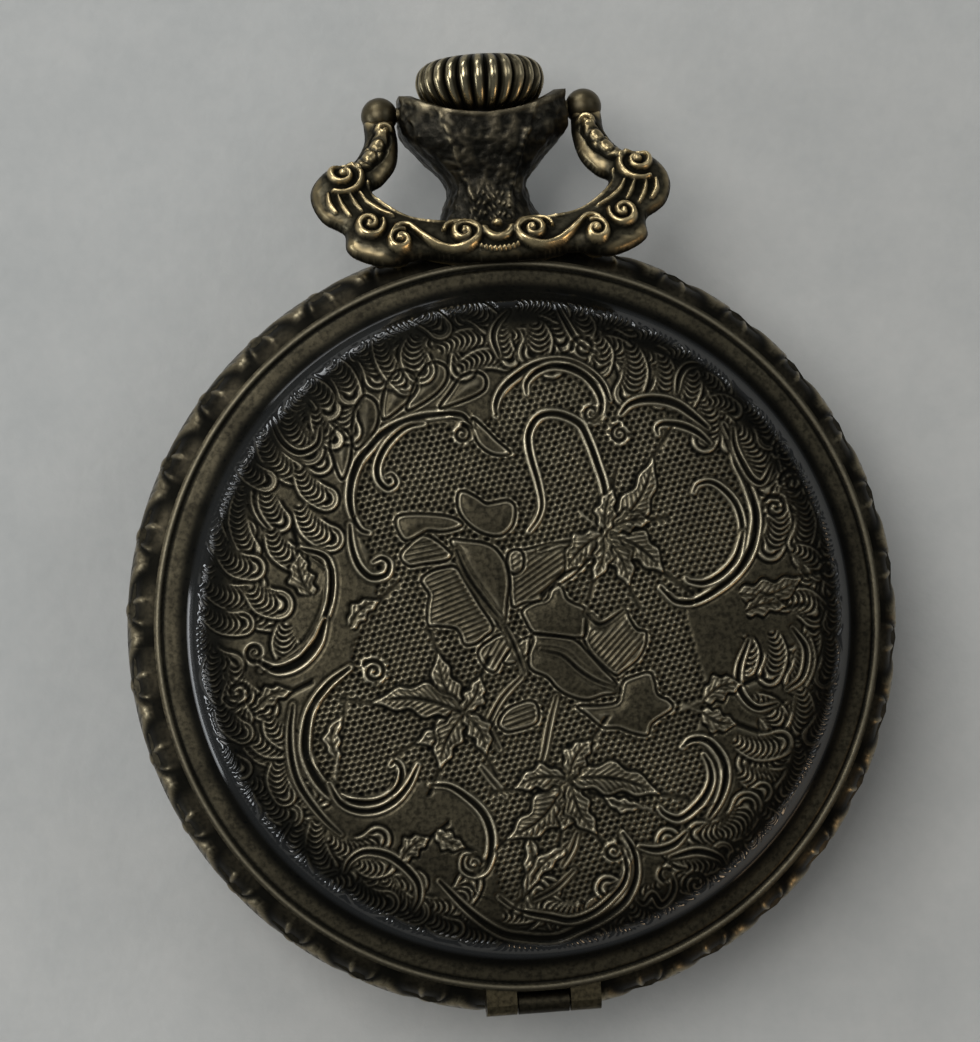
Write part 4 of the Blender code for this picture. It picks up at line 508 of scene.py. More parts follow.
VOLUTES: list[tuple[Point, float, float, int]] = [
    ((462, 434), 9, 80, -1), ((593, 412), 10, 30, -1), ((621, 433), 9, 90, 1), ((256, 652), 9, -60, -1),
    ((374, 671), 12, 140, -1), ((474, 862), 9, -60, 1), ((615, 851), 10, 60, -1),
    ((792, 447), 11, 200, -1), ((800, 480), 14, 180, -1), ((780, 506), 13, 150, -1),
    ((836, 570), 13, 120, -1), ((668, 876), 7, 30, 1), ((585, 346), 12, 180, -1),
    ((240, 692), 14, 200, 1), ((742, 860), 10, 60, -1), ((700, 886), 13, 200, -1)]

LEAVES: list[tuple[float, float | None, list[Point]]] = [
    (0.05, 35, [(508, 552), (526, 549), (542, 545), (562, 541), (586, 538), (602, 537), (598, 549),
                (588, 561), (574, 575), (562, 583), (549, 590), (540, 600), (524, 603), (512, 606),
                (510, 580)]),
    (0.08, None, [(522, 610), (535, 602), (546, 599), (551, 589), (557, 583), (563, 588), (567, 598),
                  (575, 603), (584, 607), (588, 618), (585, 636), (570, 637), (552, 635), (534, 633),
                  (526, 622)]),
    (0.08, None, [(506, 561), (510, 552), (519, 549), (524, 557), (522, 569), (515, 574), (508, 570)]),
    (0.07, 20, [(498, 723), (505, 710), (518, 703), (533, 700), (539, 711), (536, 723), (520, 729),
                (506, 731)]),
    (0.06, 60, [(489, 640), (500, 634), (512, 634), (520, 640), (512, 648), (502, 660), (494, 672),
                (482, 664), (478, 650)]),
    (0.08, None, [(458, 493), (465, 491), (477, 497), (486, 503), (495, 502), (508, 500), (515, 506),
                  (515, 518), (511, 528), (500, 536), (484, 534), (470, 526), (461, 516), (457, 505)]),
    (0.08, None, [(396, 518), (408, 514), (431, 514), (452, 517), (463, 524), (456, 529), (442, 532),
                  (429, 531), (423, 533), (406, 541), (397, 530)]),
    (0.06, 12, [(400, 556), (408, 545), (423, 535), (436, 540), (448, 550), (452, 555), (445, 561),
                (425, 564), (408, 566)]),
    (0.09, None, [(450, 540), (465, 540), (486, 543), (498, 551), (506, 565), (509, 583), (507, 604),
                  (504, 631), (494, 618), (477, 590), (463, 567), (458, 555)]),
    (0.08, 22, [(421, 579), (431, 571), (445, 567), (456, 567), (465, 581), (479, 604), (493, 627),
                (484, 637), (474, 644), (464, 644), (460, 634), (454, 628), (439, 626), (428, 625),
                (427, 608), (429, 595), (424, 587)]),
    (0.09, 48, [(585, 634), (587, 615), (594, 614), (603, 624), (613, 621), (626, 609), (631, 619),
                (638, 629), (647, 631), (647, 644), (639, 659), (624, 671), (616, 675), (603, 665),
                (590, 651), (584, 639)]),
    (0.09, None, [(533, 634), (552, 635), (568, 637), (579, 642), (590, 654), (603, 668), (614, 679),
                  (621, 692), (605, 695), (587, 700), (568, 695), (556, 687), (547, 677), (530, 668),
                  (529, 650)]),
    (0.09, None, [(621, 692), (624, 681), (637, 675), (651, 672), (656, 682), (659, 694), (670, 700),
                  (674, 709), (654, 723), (649, 735), (633, 733), (619, 728), (603, 727), (588, 715),
                  (578, 706), (602, 705), (617, 702)]),
    (0.07, None, [(503, 659), (514, 644), (531, 636), (532, 644), (523, 659), (508, 664)]),
    (0.05, None, [(472, 418), (485, 428), (497, 440), (511, 453), (495, 455), (480, 446), (473, 432)]),
    (0.10, None, [(337, 428), (348, 432), (352, 446), (349, 466), (342, 480), (334, 462), (330, 444)]),
    (0.10, None, [(364, 396), (376, 402), (379, 418), (372, 436), (356, 450), (352, 432), (355, 410)]),
    (0.10, None, [(399, 370), (414, 374), (417, 388), (406, 404), (384, 420), (382, 402), (388, 382)]),
    (0.10, None, [(432, 362), (446, 366), (447, 380), (434, 396), (408, 411), (410, 396), (420, 374)]),
    (0.10, None, [(478, 372), (486, 378), (484, 390), (466, 400), (440, 408), (450, 392), (462, 376)])]

LOBES: list[tuple[Point, Point, float, float]] = [
    ((462, 712), (438, 652), 26, 0.10), ((462, 712), (372, 702), 30, -0.10),
    ((462, 714), (416, 742), 24, 0.10), ((464, 714), (440, 768), 26, -0.10),
    ((466, 714), (486, 754), 22, 0.12), ((464, 710), (480, 676), 20, -0.10),
    ((566, 778), (507, 838), 34, 0.12), ((566, 778), (514, 788), 24, -0.12),
    ((570, 782), (562, 830), 26, 0.10), ((572, 782), (598, 834), 24, -0.10),
    ((572, 778), (662, 794), 30, 0.08), ((570, 774), (592, 740), 24, 0.12),
    ((608, 530), (655, 456), 28, -0.12), ((610, 534), (665, 572), 30, 0.10),
    ((606, 538), (630, 586), 24, 0.10), ((604, 534), (566, 571), 28, -0.10),
    ((612, 528), (652, 520), 20, 0.10), ((530, 838), (524, 898), 16, 0.10),
    ((566, 848), (528, 892), 16, -0.12), ((606, 530), (614, 488), 20, 0.08),
    ((604, 536), (594, 580), 18, 0.10), ((350, 628), (380, 600), 18, 0.15),
    ((338, 758), (344, 714), 16, 0.20), ((312, 596), (300, 552), 24, 0.12),
    ((258, 708), (294, 690), 18, 0.15), ((742, 594), (808, 576), 28, -0.12),
    ((748, 612), (792, 606), 20, 0.12), ((640, 806), (604, 796), 14, 0.10),
    ((706, 700), (746, 684), 24, 0.14), ((704, 712), (740, 724), 22, -0.12),
    ((402, 858), (430, 836), 20, 0.12), ((436, 830), (466, 846), 18, -0.1)]

PLUMES: list[tuple[Point, Point, float]] = [
    ((289, 413), (304, 450), 34), ((262, 430), (287, 474), 26), ((296, 380), (330, 404), 26),
    ((318, 356), (352, 388), 26), ((346, 336), (380, 372), 28), ((380, 322), (398, 384), 22),
    ((417, 336), (417, 368), 32), ((440, 350), (488, 338), 26), ((460, 368), (502, 356), 22),
    ((400, 310), (440, 322), 26), ((446, 304), (490, 316), 28), ((506, 318), (507, 356), 18),
    ((537, 322), (537, 350), 34), ((520, 304), (560, 306), 26), ((585, 312), (585, 330), 28),
    ((600, 316), (634, 318), 28), ((598, 336), (604, 362), 26), ((634, 344), (634, 390), 30),
    ((666, 354), (666, 394), 24), ((640, 332), (680, 336), 26), ((674, 350), (704, 352), 24),
    ((694, 362), (694, 396), 22), ((708, 372), (724, 392), 20), ((712, 400), (738, 404), 20),
    ((726, 414), (736, 440), 18), ((742, 428), (774, 480), 34), ((752, 404), (776, 432), 26),
    ((780, 440), (798, 462), 22), ((784, 474), (806, 500), 24), ((780, 494), (780, 544), 30),
    ((808, 496), (810, 540), 26), ((834, 520), (836, 552), 22), ((798, 548), (826, 566), 22),
    ((832, 560), (842, 588), 22), ((790, 600), (820, 608), 34), ((838, 594), (842, 622), 20),
    ((836, 634), (836, 676), 24), ((808, 634), (806, 680), 26), ((776, 632), (778, 672), 26),
    ((748, 636), (752, 664), 22), ((754, 700), (784, 722), 30), ((806, 690), (806, 732), 28),
    ((836, 690), (824, 736), 22), ((738, 740), (782, 748), 30), ((744, 772), (796, 786), 34),
    ((804, 748), (796, 792), 26), ((820, 756), (800, 816), 20), ((736, 800), (766, 796), 22),
    ((724, 836), (752, 812), 36), ((766, 812), (786, 836), 24), ((752, 836), (776, 852), 26),
    ((716, 846), (740, 862), 22), ((690, 868), (726, 858), 24), ((700, 880), (722, 898), 26),
    ((664, 908), (684, 920), 24), ((634, 908), (656, 922), 26), ((604, 926), (640, 938), 22),
    ((560, 948), (600, 942), 20), ((500, 944), (548, 950), 20), ((452, 922), (490, 940), 24),
    ((424, 908), (452, 930), 22), ((386, 880), (412, 912), 30), ((352, 884), (384, 904), 28),
    ((358, 862), (384, 866), 22), ((319, 818), (323, 864), 24), ((299, 824), (303, 880), 28),
    ((267, 832), (272, 852), 20), ((268, 797), (289, 815), 26), ((246, 773), (248, 809), 26),
    ((281, 758), (282, 792), 24), ((252, 734), (282, 746), 28), ((224, 748), (240, 768), 24),
    ((216, 652), (218, 692), 24), ((237, 678), (238, 716), 26), ((222, 704), (240, 732), 24),
    ((270, 716), (284, 738), 24), ((287, 624), (289, 656), 30), ((205, 583), (247, 600), 28),
    ((205, 610), (240, 626), 26), ((216, 490), (219, 548), 22), ((243, 490), (245, 548), 22),
    ((222, 550), (250, 570), 28), ((268, 480), (276, 520), 24), ((252, 588), (276, 606), 32),
    ((272, 530), (290, 560), 26), ((300, 470), (322, 500), 26), ((300, 506), (326, 540), 28),
    ((240, 452), (262, 482), 24), ((316, 410), (330, 440), 20)]


def colour(red: float, green: float, blue: float) -> tuple[float, float, float, float]:
    """Give a linear colour its alpha."""
    return (red, green, blue, 1.0)


class NodeSheet:
    """Short calls that fill one node tree."""

    def __init__(self, tree: bpy.types.NodeTree) -> None:
        """Keep the tree to fill."""
        self.tree = tree

    def add(self, kind: str, settings: dict[str, object] | None = None, **values: object) -> bpy.types.Node:
        """Add a node.

        Args:
            kind: Node type after the word ShaderNode.
            settings: Properties of the node.
            **values: Input values by name, with _ for a space.

        Returns:
            The node.
        """
        node = self.tree.nodes.new("ShaderNode" + kind)
        for key, value in (settings or {}).items():
            setattr(node, key, value)
        for key, value in values.items():
            self.put(node.inputs[key.replace("_", " ")], value)
        return node

    def put(self, socket: bpy.types.NodeSocket, value: object) -> None:
        """Set an input, or link it where the value is a socket."""
        if isinstance(value, bpy.types.NodeSocket):
            self.tree.links.new(value, socket)
        else:
            socket.default_value = value

    def math(self, operation: str, first: object, second: object,
             clamp: bool = False) -> bpy.types.NodeSocket:
        """Join two values by a sum.

        Args:
            operation: Name of the sum.
            first: Value or socket.
            second: Value or socket.
            clamp: True to keep the result between 0 and 1.

        Returns:
            The result.
        """
        node = self.tree.nodes.new("ShaderNodeMath")
        node.operation = operation
        node.use_clamp = clamp
        self.put(node.inputs[0], first)
        self.put(node.inputs[1], second)
        return node.outputs[0]

    def mix(self, share: object, first: object, second: object) -> bpy.types.NodeSocket:
        """Blend two colours by a share and return the blend."""
        node = self.tree.nodes.new("ShaderNodeMix")
        node.data_type = "RGBA"
        self.put(node.inputs["Factor"], share)
        self.put(node.inputs[6], first)
        self.put(node.inputs[7], second)
        return node.outputs[2]

    def span(self, value: object, low: float, high: float, to_low: float = 0.0,
             to_high: float = 1.0) -> bpy.types.NodeSocket:
        """Stretch a value from one span to another and return it."""
        node = self.add("MapRange", Value=value, From_Min=low, From_Max=high, To_Min=to_low, To_Max=to_high)
        return node.outputs["Result"]

    def noise(self, scale: object, detail: float = 3.0, vector: object = None) -> bpy.types.NodeSocket:
        """Add a cloudy pattern over Object coordinates and return its value."""
        if vector is None:
            vector = self.add("TexCoord").outputs["Object"]
        return self.add("TexNoise", Vector=vector, Scale=scale, Detail=detail).outputs["Fac"]


def new_group(name: str, inputs: dict[str, object], outputs: dict[str, str]) -> tuple[
        bpy.types.NodeTree, NodeSheet, bpy.types.Node, bpy.types.Node]:
    """Start a shader node group.

    Args:
        name: Name of the group.
        inputs: Input names with their defaults; a tuple is a colour.
        outputs: Output names with their socket types.

    Returns:
        The group, its sheet, and its input and output nodes.
    """
    group = bpy.data.node_groups.new(name, "ShaderNodeTree")
    for key, value in inputs.items():
        kind = "NodeSocketColor" if isinstance(value, tuple) else "NodeSocketFloat"
        group.interface.new_socket(name=key, in_out="INPUT", socket_type=kind).default_value = value
    for key, kind in outputs.items():
        group.interface.new_socket(name=key, in_out="OUTPUT", socket_type=kind)
    sheet = NodeSheet(group)
    return group, sheet, sheet.tree.nodes.new("NodeGroupInput"), sheet.tree.nodes.new("NodeGroupOutput")


OUTPUTS: dict[str, str] = {
    "Color": "NodeSocketColor",
    "Roughness": "NodeSocketFloat",
    "Height": "NodeSocketFloat"}


class Effects:
    """Node groups that several finishes share."""

    def __init__(self) -> None:
        """Build each group once."""
        self.patina = self.make_patina()
        self.grain = self.make_grain()

    def make_patina(self) -> bpy.types.NodeTree:
        """Build old bronze: mottled tarnish, bright worn crests, dark hollows and painted shade; return the
        group.
        """
        colours = {
            "Base": colour(0.2, 0.17, 0.1),
            "Bright": colour(0.6, 0.5, 0.3),
            "Dark": colour(0.02, 0.018, 0.012)}
        values = {"Wear": 0.0, "Dirt": 0.0, "Scale": 420.0, "Mottle": 0.5, "Rough": 0.36}
        group, sheet, start, end = new_group("aged_bronze", {**colours, **values}, OUTPUTS)
        taken = start.outputs
        cloud = sheet.noise(taken["Scale"], 5.0)
        fine = sheet.noise(sheet.math("MULTIPLY", taken["Scale"], 9.0), 3.0)
        mottle = sheet.math("MULTIPLY", sheet.span(cloud, 0.38, 0.68), taken["Mottle"])
        tarnish = sheet.mix(mottle, taken["Base"], taken["Dark"])
        tarnish = sheet.mix(sheet.span(fine, 0.40, 0.66, 0.0, 0.6), tarnish, taken["Dark"])
        rubbed = sheet.math("MULTIPLY", taken["Wear"], sheet.span(fine, 0.25, 0.7, 0.45, 1.0), True)
        worn = sheet.mix(rubbed, tarnish, taken["Bright"])
        # Mix towards the dark colour: patina in the hollows, and painted shade where the covers' shoulder
        # ring carries it in.
        hollow_and_shade = sheet.math("MULTIPLY", taken["Dirt"], sheet.span(fine, 0.2, 0.7, 1.0, 0.8), True)
        sheet.put(end.inputs["Color"], sheet.mix(hollow_and_shade, worn, taken["Dark"]))
        rough = sheet.math("ADD", taken["Rough"], sheet.math("MULTIPLY", mottle, 0.25))
        rough = sheet.math("ADD", rough, sheet.math("MULTIPLY", hollow_and_shade, 0.30))
        rough = sheet.math("SUBTRACT", rough, sheet.math("MULTIPLY", rubbed, 0.10), True)
        sheet.put(end.inputs["Roughness"], rough)
        sheet.put(end.inputs["Height"], sheet.math("ADD", fine, sheet.math("MULTIPLY", cloud, 0.6)))
        return group

    def make_grain(self) -> bpy.types.NodeTree:
        """Build drawn metal: fine lines along one way and faint stains; return the group."""
        inputs = {"Base": colour(0.6, 0.6, 0.6), "Tint": colour(0.4, 0.4, 0.4), "Scale": 900.0, "Rough": 0.25}
        group, sheet, start, end = new_group("drawn_metal", inputs, OUTPUTS)
        place = sheet.add("TexCoord").outputs["Object"]
        stretched = sheet.add("Mapping", Vector=place, Scale=(1.0, 0.06, 0.06)).outputs["Vector"]
        lines = sheet.noise(sheet.math("MULTIPLY", start.outputs["Scale"], 6.0), 2.0, stretched)
        stain = sheet.noise(start.outputs["Scale"], 4.0, place)
        shade = sheet.math("MULTIPLY", sheet.span(stain, 0.35, 0.7), 0.6)
        tone = sheet.math("ADD", shade, sheet.span(lines, 0.3, 0.7, -0.1, 0.3), True)
        sheet.put(end.inputs["Color"], sheet.mix(tone, start.outputs["Base"], start.outputs["Tint"]))
        rough = sheet.math("ADD", start.outputs["Rough"], sheet.math("MULTIPLY", lines, 0.2), True)
        sheet.put(end.inputs["Roughness"], rough)
        sheet.put(end.inputs["Height"], lines)
        return group


def blank_material(name: str) -> tuple[bpy.types.Material, NodeSheet, bpy.types.Node]:
    """Start a material.

    Args:
        name: Name of the finish.

    Returns:
        The material, its node sheet and its Principled shader.
    """
    material = bpy.data.materials.new(name)
    material.use_nodes = True
    sheet = NodeSheet(material.node_tree)
    return material, sheet, material.node_tree.nodes["Principled BSDF"]


def set_bump(sheet: NodeSheet, shader: bpy.types.Node, height: bpy.types.NodeSocket, strength: float,
             distance: float) -> None:
    """Feed a height into a shader's normal.

    Args:
        sheet: Node sheet of the material.
        shader: Its Principled shader.
        height: Height socket.
        strength: Strength of the bump.
        distance: Depth of the bump in metres.
    """
    bump = sheet.add("Bump", Strength=strength, Distance=distance, Height=height)
    sheet.put(shader.inputs["Normal"], bump.outputs["Normal"])


@dataclass(frozen=True)
class BronzeFinish:
    """Old bronze with worn crests, dark hollows and, on the covers, painted shade, read from the piece's own
    attributes.
    """

    name: str
    base: Triple
    bright: Triple
    dark: Triple = (0.012, 0.011, 0.008)
    scale: float = 420.0
    mottle: float = 0.5
    rough: float = 0.36
    bump: float = 0.15
    wear: float = 1.0
    dirt_and_shade: float = 1.0
    coat: float = 0.0
    coat_rough: float = 0.10
    coat_ior: float = 1.75
    depth: float = 0.00004

    def make(self, effects: Effects) -> bpy.types.Material:
        """Build the material from the shared patina."""
        material, sheet, shader = blank_material(self.name)
        wear = sheet.add("Attribute", {"attribute_name": "wear"}).outputs["Fac"]
        # This attribute darkens the hollows and, on the engraved covers, paints the shade of the shoulder
        # ring and brim.
        dirt_and_shade = sheet.add("Attribute", {"attribute_name": "dirt_and_shade"}).outputs["Fac"]
        group = sheet.add("Group", {"node_tree": effects.patina}, Base=colour(*self.base),
                          Bright=colour(*self.bright), Dark=colour(*self.dark), Scale=self.scale,
                          Mottle=self.mottle, Rough=self.rough, Wear=sheet.math("MULTIPLY", wear, self.wear),
                          Dirt=sheet.math("MULTIPLY", dirt_and_shade, self.dirt_and_shade))
        sheet.put(shader.inputs["Base Color"], group.outputs["Color"])
        sheet.put(shader.inputs["Roughness"], group.outputs["Roughness"])
        shader.inputs["Metallic"].default_value = 1.0
        gloss = sheet.add("Attribute", {"attribute_name": "gloss"}).outputs["Fac"]
        sheet.put(shader.inputs["Coat Weight"], sheet.math("MULTIPLY", gloss, self.coat))
        shader.inputs["Coat Roughness"].default_value = self.coat_rough
        shader.inputs["Coat IOR"].default_value = self.coat_ior
        set_bump(sheet, shader, group.outputs["Height"], self.bump, self.depth)
        return material


@dataclass(frozen=True)
class DrawnMetalFinish:
    """Clean metal of the movement with fine lines."""

    name: str
    base: Triple
    tint: Triple
    scale: float = 900.0
    rough: float = 0.25
    bump: float = 0.10
    depth: float = 0.00002

    def make(self, effects: Effects) -> bpy.types.Material:
        """Build the material from the shared grain."""
        material, sheet, shader = blank_material(self.name)
        group = sheet.add("Group", {"node_tree": effects.grain}, Base=colour(*self.base),
                          Tint=colour(*self.tint), Scale=self.scale, Rough=self.rough)
        sheet.put(shader.inputs["Base Color"], group.outputs["Color"])
        sheet.put(shader.inputs["Roughness"], group.outputs["Roughness"])
        shader.inputs["Metallic"].default_value = 1.0
        set_bump(sheet, shader, group.outputs["Height"], self.bump, self.depth)
        return material


@dataclass(frozen=True)
class PaintFinish:
    """Enamel, ink, paper or stone: a mottled coat that isn't metal."""

    name: str
    base: Triple
    tint: Triple
    scale: float = 700.0
    rough: float = 0.3
    coat: float = 0.0
    bump: float = 0.05
    depth: float = 0.00002

    def make(self, effects: Effects) -> bpy.types.Material:
        """Build the material with a faint cloud in its colour; it needs no shared effect."""
        material, sheet, shader = blank_material(self.name)
        cloud = sheet.noise(self.scale, 5.0)
        fine = sheet.noise(self.scale * 8.0, 3.0)
        broad, speckle = sheet.span(cloud, 0.3, 0.7, 0.0, 0.7), sheet.span(fine, 0.3, 0.7, 0.0, 0.3)
        tone = sheet.math("ADD", broad, speckle, True)
        sheet.put(shader.inputs["Base Color"], sheet.mix(tone, colour(*self.base), colour(*self.tint)))
        sheet.put(shader.inputs["Roughness"], sheet.span(cloud, 0.3, 0.7, self.rough, self.rough + 0.12))
        shader.inputs["Coat Weight"].default_value = self.coat
        set_bump(sheet, shader, fine, self.bump, self.depth)
        return material


@dataclass(frozen=True)
class GlassFinish:
    """Thin watch glass with faint wipe marks."""

    name: str
    tint: Triple = (0.96, 0.98, 0.97)
    ior: float = 1.46

    def make(self, effects: Effects) -> bpy.types.Material:
        """Build clear glass; it needs no shared effect."""
        material, sheet, shader = blank_material(self.name)
        shader.inputs["Base Color"].default_value = colour(*self.tint)
        shader.inputs["Transmission Weight"].default_value = 1.0
        shader.inputs["IOR"].default_value = self.ior
        sheet.put(shader.inputs["Roughness"], sheet.span(sheet.noise(260.0, 4.0), 0.4, 0.8, 0.0, 0.06))
        return material


class Finish(Enum):
    """Finishes of the watch."""

    # The lid's bluish dark colour is the patina in the hollows and also the painted shade of the shoulder
    # ring and brim.
    LID = BronzeFinish("engraved_bronze", (0.084, 0.072, 0.046), (0.58, 0.51, 0.36), (0.0022, 0.0028, 0.0032),
                       mottle=0.40, rough=0.40, bump=0.35, coat=0.8)
    BAND = BronzeFinish("band_bronze", (0.050, 0.042, 0.027), (0.30, 0.25, 0.16), (0.006, 0.006, 0.005),
                        mottle=0.6, rough=0.36)
    CAST = BronzeFinish("cast_bow_bronze", (0.080, 0.069, 0.045), (0.80, 0.62, 0.33), (0.004, 0.004, 0.003),
                        mottle=0.55, rough=0.34)
    CROWN = BronzeFinish("crown_brass", (0.050, 0.043, 0.027), (0.62, 0.52, 0.32), (0.004, 0.004, 0.003),
                         mottle=0.5, rough=0.28)
    PENDANT = BronzeFinish("dark_bronze", (0.030, 0.027, 0.021), (0.30, 0.25, 0.16), (0.006, 0.006, 0.005),
                           mottle=0.7, rough=0.36, scale=900.0, bump=0.5)
    LINING = BronzeFinish("cover_lining", (0.13, 0.105, 0.060), (0.5, 0.42, 0.26), mottle=0.45, rough=0.32)
    INNER = BronzeFinish("inner_bronze", (0.36, 0.29, 0.16), (0.6, 0.5, 0.3), mottle=0.35, rough=0.30)
    GILT = DrawnMetalFinish("gilt_brass", (0.78, 0.58, 0.26), (0.66, 0.46, 0.19))
    WHEEL = DrawnMetalFinish("wheel_brass", (0.80, 0.64, 0.34), (0.68, 0.50, 0.22), 1500.0, 0.20)
    STEEL = DrawnMetalFinish("polished_steel", (0.56, 0.57, 0.58), (0.44, 0.45, 0.47), 1300.0, 0.16)
    BLUED = DrawnMetalFinish("blued_steel", (0.03, 0.055, 0.17), (0.02, 0.03, 0.09), 1500.0, 0.18)
    ENAMEL = PaintFinish("white_enamel", (0.80, 0.79, 0.74), (0.74, 0.72, 0.66), 500.0, 0.14, 0.4)
    INK = PaintFinish("dial_ink", (0.012, 0.012, 0.014), (0.03, 0.03, 0.03), 1200.0, 0.35)
    PAPER = PaintFinish("pale_paper", (0.45, 0.45, 0.435), (0.40, 0.405, 0.395), 150.0, 0.75,
                        bump=0.25, depth=0.00012)
    GLASS = GlassFinish("watch_glass")


class Palette:
    """Materials of the watch, each made once."""

    def __init__(self) -> None:
        """Start with no material made."""
        self.effects = Effects()
        self.made: dict[Finish, bpy.types.Material] = {}

    def get(self, finish: Finish) -> bpy.types.Material:
        """Give a finish's material."""
        if finish not in self.made:
            self.made[finish] = finish.value.make(self.effects)
        return self.made[finish]


def add_piece(name: str, mesh: bpy.types.Mesh, material: bpy.types.Material, body: str,
              replaces: tuple[str, ...] = ()) -> bpy.types.Object:
    """Link a finished mesh and tie it to its body.

    Args:
        name: Name of the piece.
        mesh: Its mesh, already in place.
        material: Its material.
        body: Body that carries it.
        replaces: Nodes it stands for.

    Returns:
        The piece.
    """
    piece = bpy.data.objects.new(name, mesh)
    bpy.context.scene.collection.objects.link(piece)
    mesh.materials.append(material)
    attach(piece, body)
    if replaces:
        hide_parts(*replaces)
    LOG.info("%s rides on %s with %d faces", name, body, len(mesh.polygons))
    return piece


def mesh_from(bm: bmesh.types.BMesh, name: str, smooth: bool = True) -> bpy.types.Mesh:
    """Close a bmesh into a mesh.

    Args:
        bm: The bmesh, freed afterwards.
        name: Name of the mesh.
        smooth: True for smooth shading.

    Returns:
        The mesh.
    """
    mesh = bpy.data.meshes.new(name)
    for face in bm.faces:
        face.smooth = smooth
    bm.to_mesh(mesh)
    bm.free()
    return mesh


def read_places(mesh: bpy.types.Mesh) -> Field:
    """Read the vertex places of a mesh, one row each."""
    places = np.empty(len(mesh.vertices) * 3)
    mesh.vertices.foreach_get("co", places)
    return places.reshape(-1, 3)


def write_places(mesh: bpy.types.Mesh, places: Field) -> None:
    """Write vertex places back to a mesh."""
    mesh.vertices.foreach_set("co", np.ascontiguousarray(places, dtype=np.float32).ravel())
    mesh.update()


def write_value(mesh: bpy.types.Mesh, name: str, values: Field) -> None:
    """Store one number per vertex as an attribute."""
    layer = mesh.attributes.new(name, "FLOAT", "POINT")
    layer.data.foreach_set("value", np.clip(values, 0.0, 1.0).astype(np.float32))


def write_layers(bm: bmesh.types.BMesh, wear: Field, dirt_and_shade: Field) -> None:
    """Store wear and dirt on the vertices of a bmesh."""
    for name, values in (("wear", wear), ("dirt_and_shade", dirt_and_shade)):
        layer = bm.verts.layers.float.new(name)
        for vert, value in zip(bm.verts, values):
            vert[layer] = float(value)


def extrude_border(bm: bmesh.types.BMesh, edges: list[bmesh.types.BMEdge]) -> tuple[
        list[bmesh.types.BMEdge], list[bmesh.types.BMVert]]:
    """Extrude border edges in place.

    Args:
        bm: Mesh that they belong to.
        edges: Edges to extrude.

    Returns:
        The new edges and vertices.
    """
    made = bmesh.ops.extrude_edge_only(bm, edges=edges)["geom"]
    return ([item for item in made if isinstance(item, bmesh.types.BMEdge)],
            [item for item in made if isinstance(item, bmesh.types.BMVert)])


def spin_section(bm: bmesh.types.BMesh, points: list[Triple], axis: Triple, steps: int,
                 centre: Triple = (0.0, 0.0, 0.0), closed: bool = False) -> None:
    """Turn a section into a round shape.

    Args:
        bm: Mesh to add it to.
        points: Points of the section in order.
        axis: Direction of the axis.
        steps: Steps round it.
        centre: A point on the axis.
        closed: True where the section's last point joins its first.
    """
    verts = [bm.verts.new(point) for point in points]
    ends = verts[1:] + verts[:1] if closed else verts[1:]
    edges = [bm.edges.new(pair) for pair in zip(verts, ends)]
    bmesh.ops.spin(bm, geom=verts + edges, cent=centre, axis=axis, angle=2 * math.pi, steps=steps,
                   use_merge=True)


FRONT_CURVE: list[Point] = [
    (0.0, 3.2), (6.0, 3.168), (12.0, 3.04), (15.2, 2.78), (17.4, 2.50), (18.3, 2.10), (18.9, 1.76),
    (19.35, 1.34), (19.75, 1.03), (20.2, 0.89), (20.7, 0.81), (21.49, 0.70), (22.5, 0.55)]
BACK_CURVE: list[Point] = [
    (0.0, 3.2), (6.0, 3.2), (12.0, 3.2), (17.49, 2.5), (18.96, 1.69), (19.59, 0.9), (20.4, 0.82),
    (21.49, 0.70), (22.5, 0.55)]


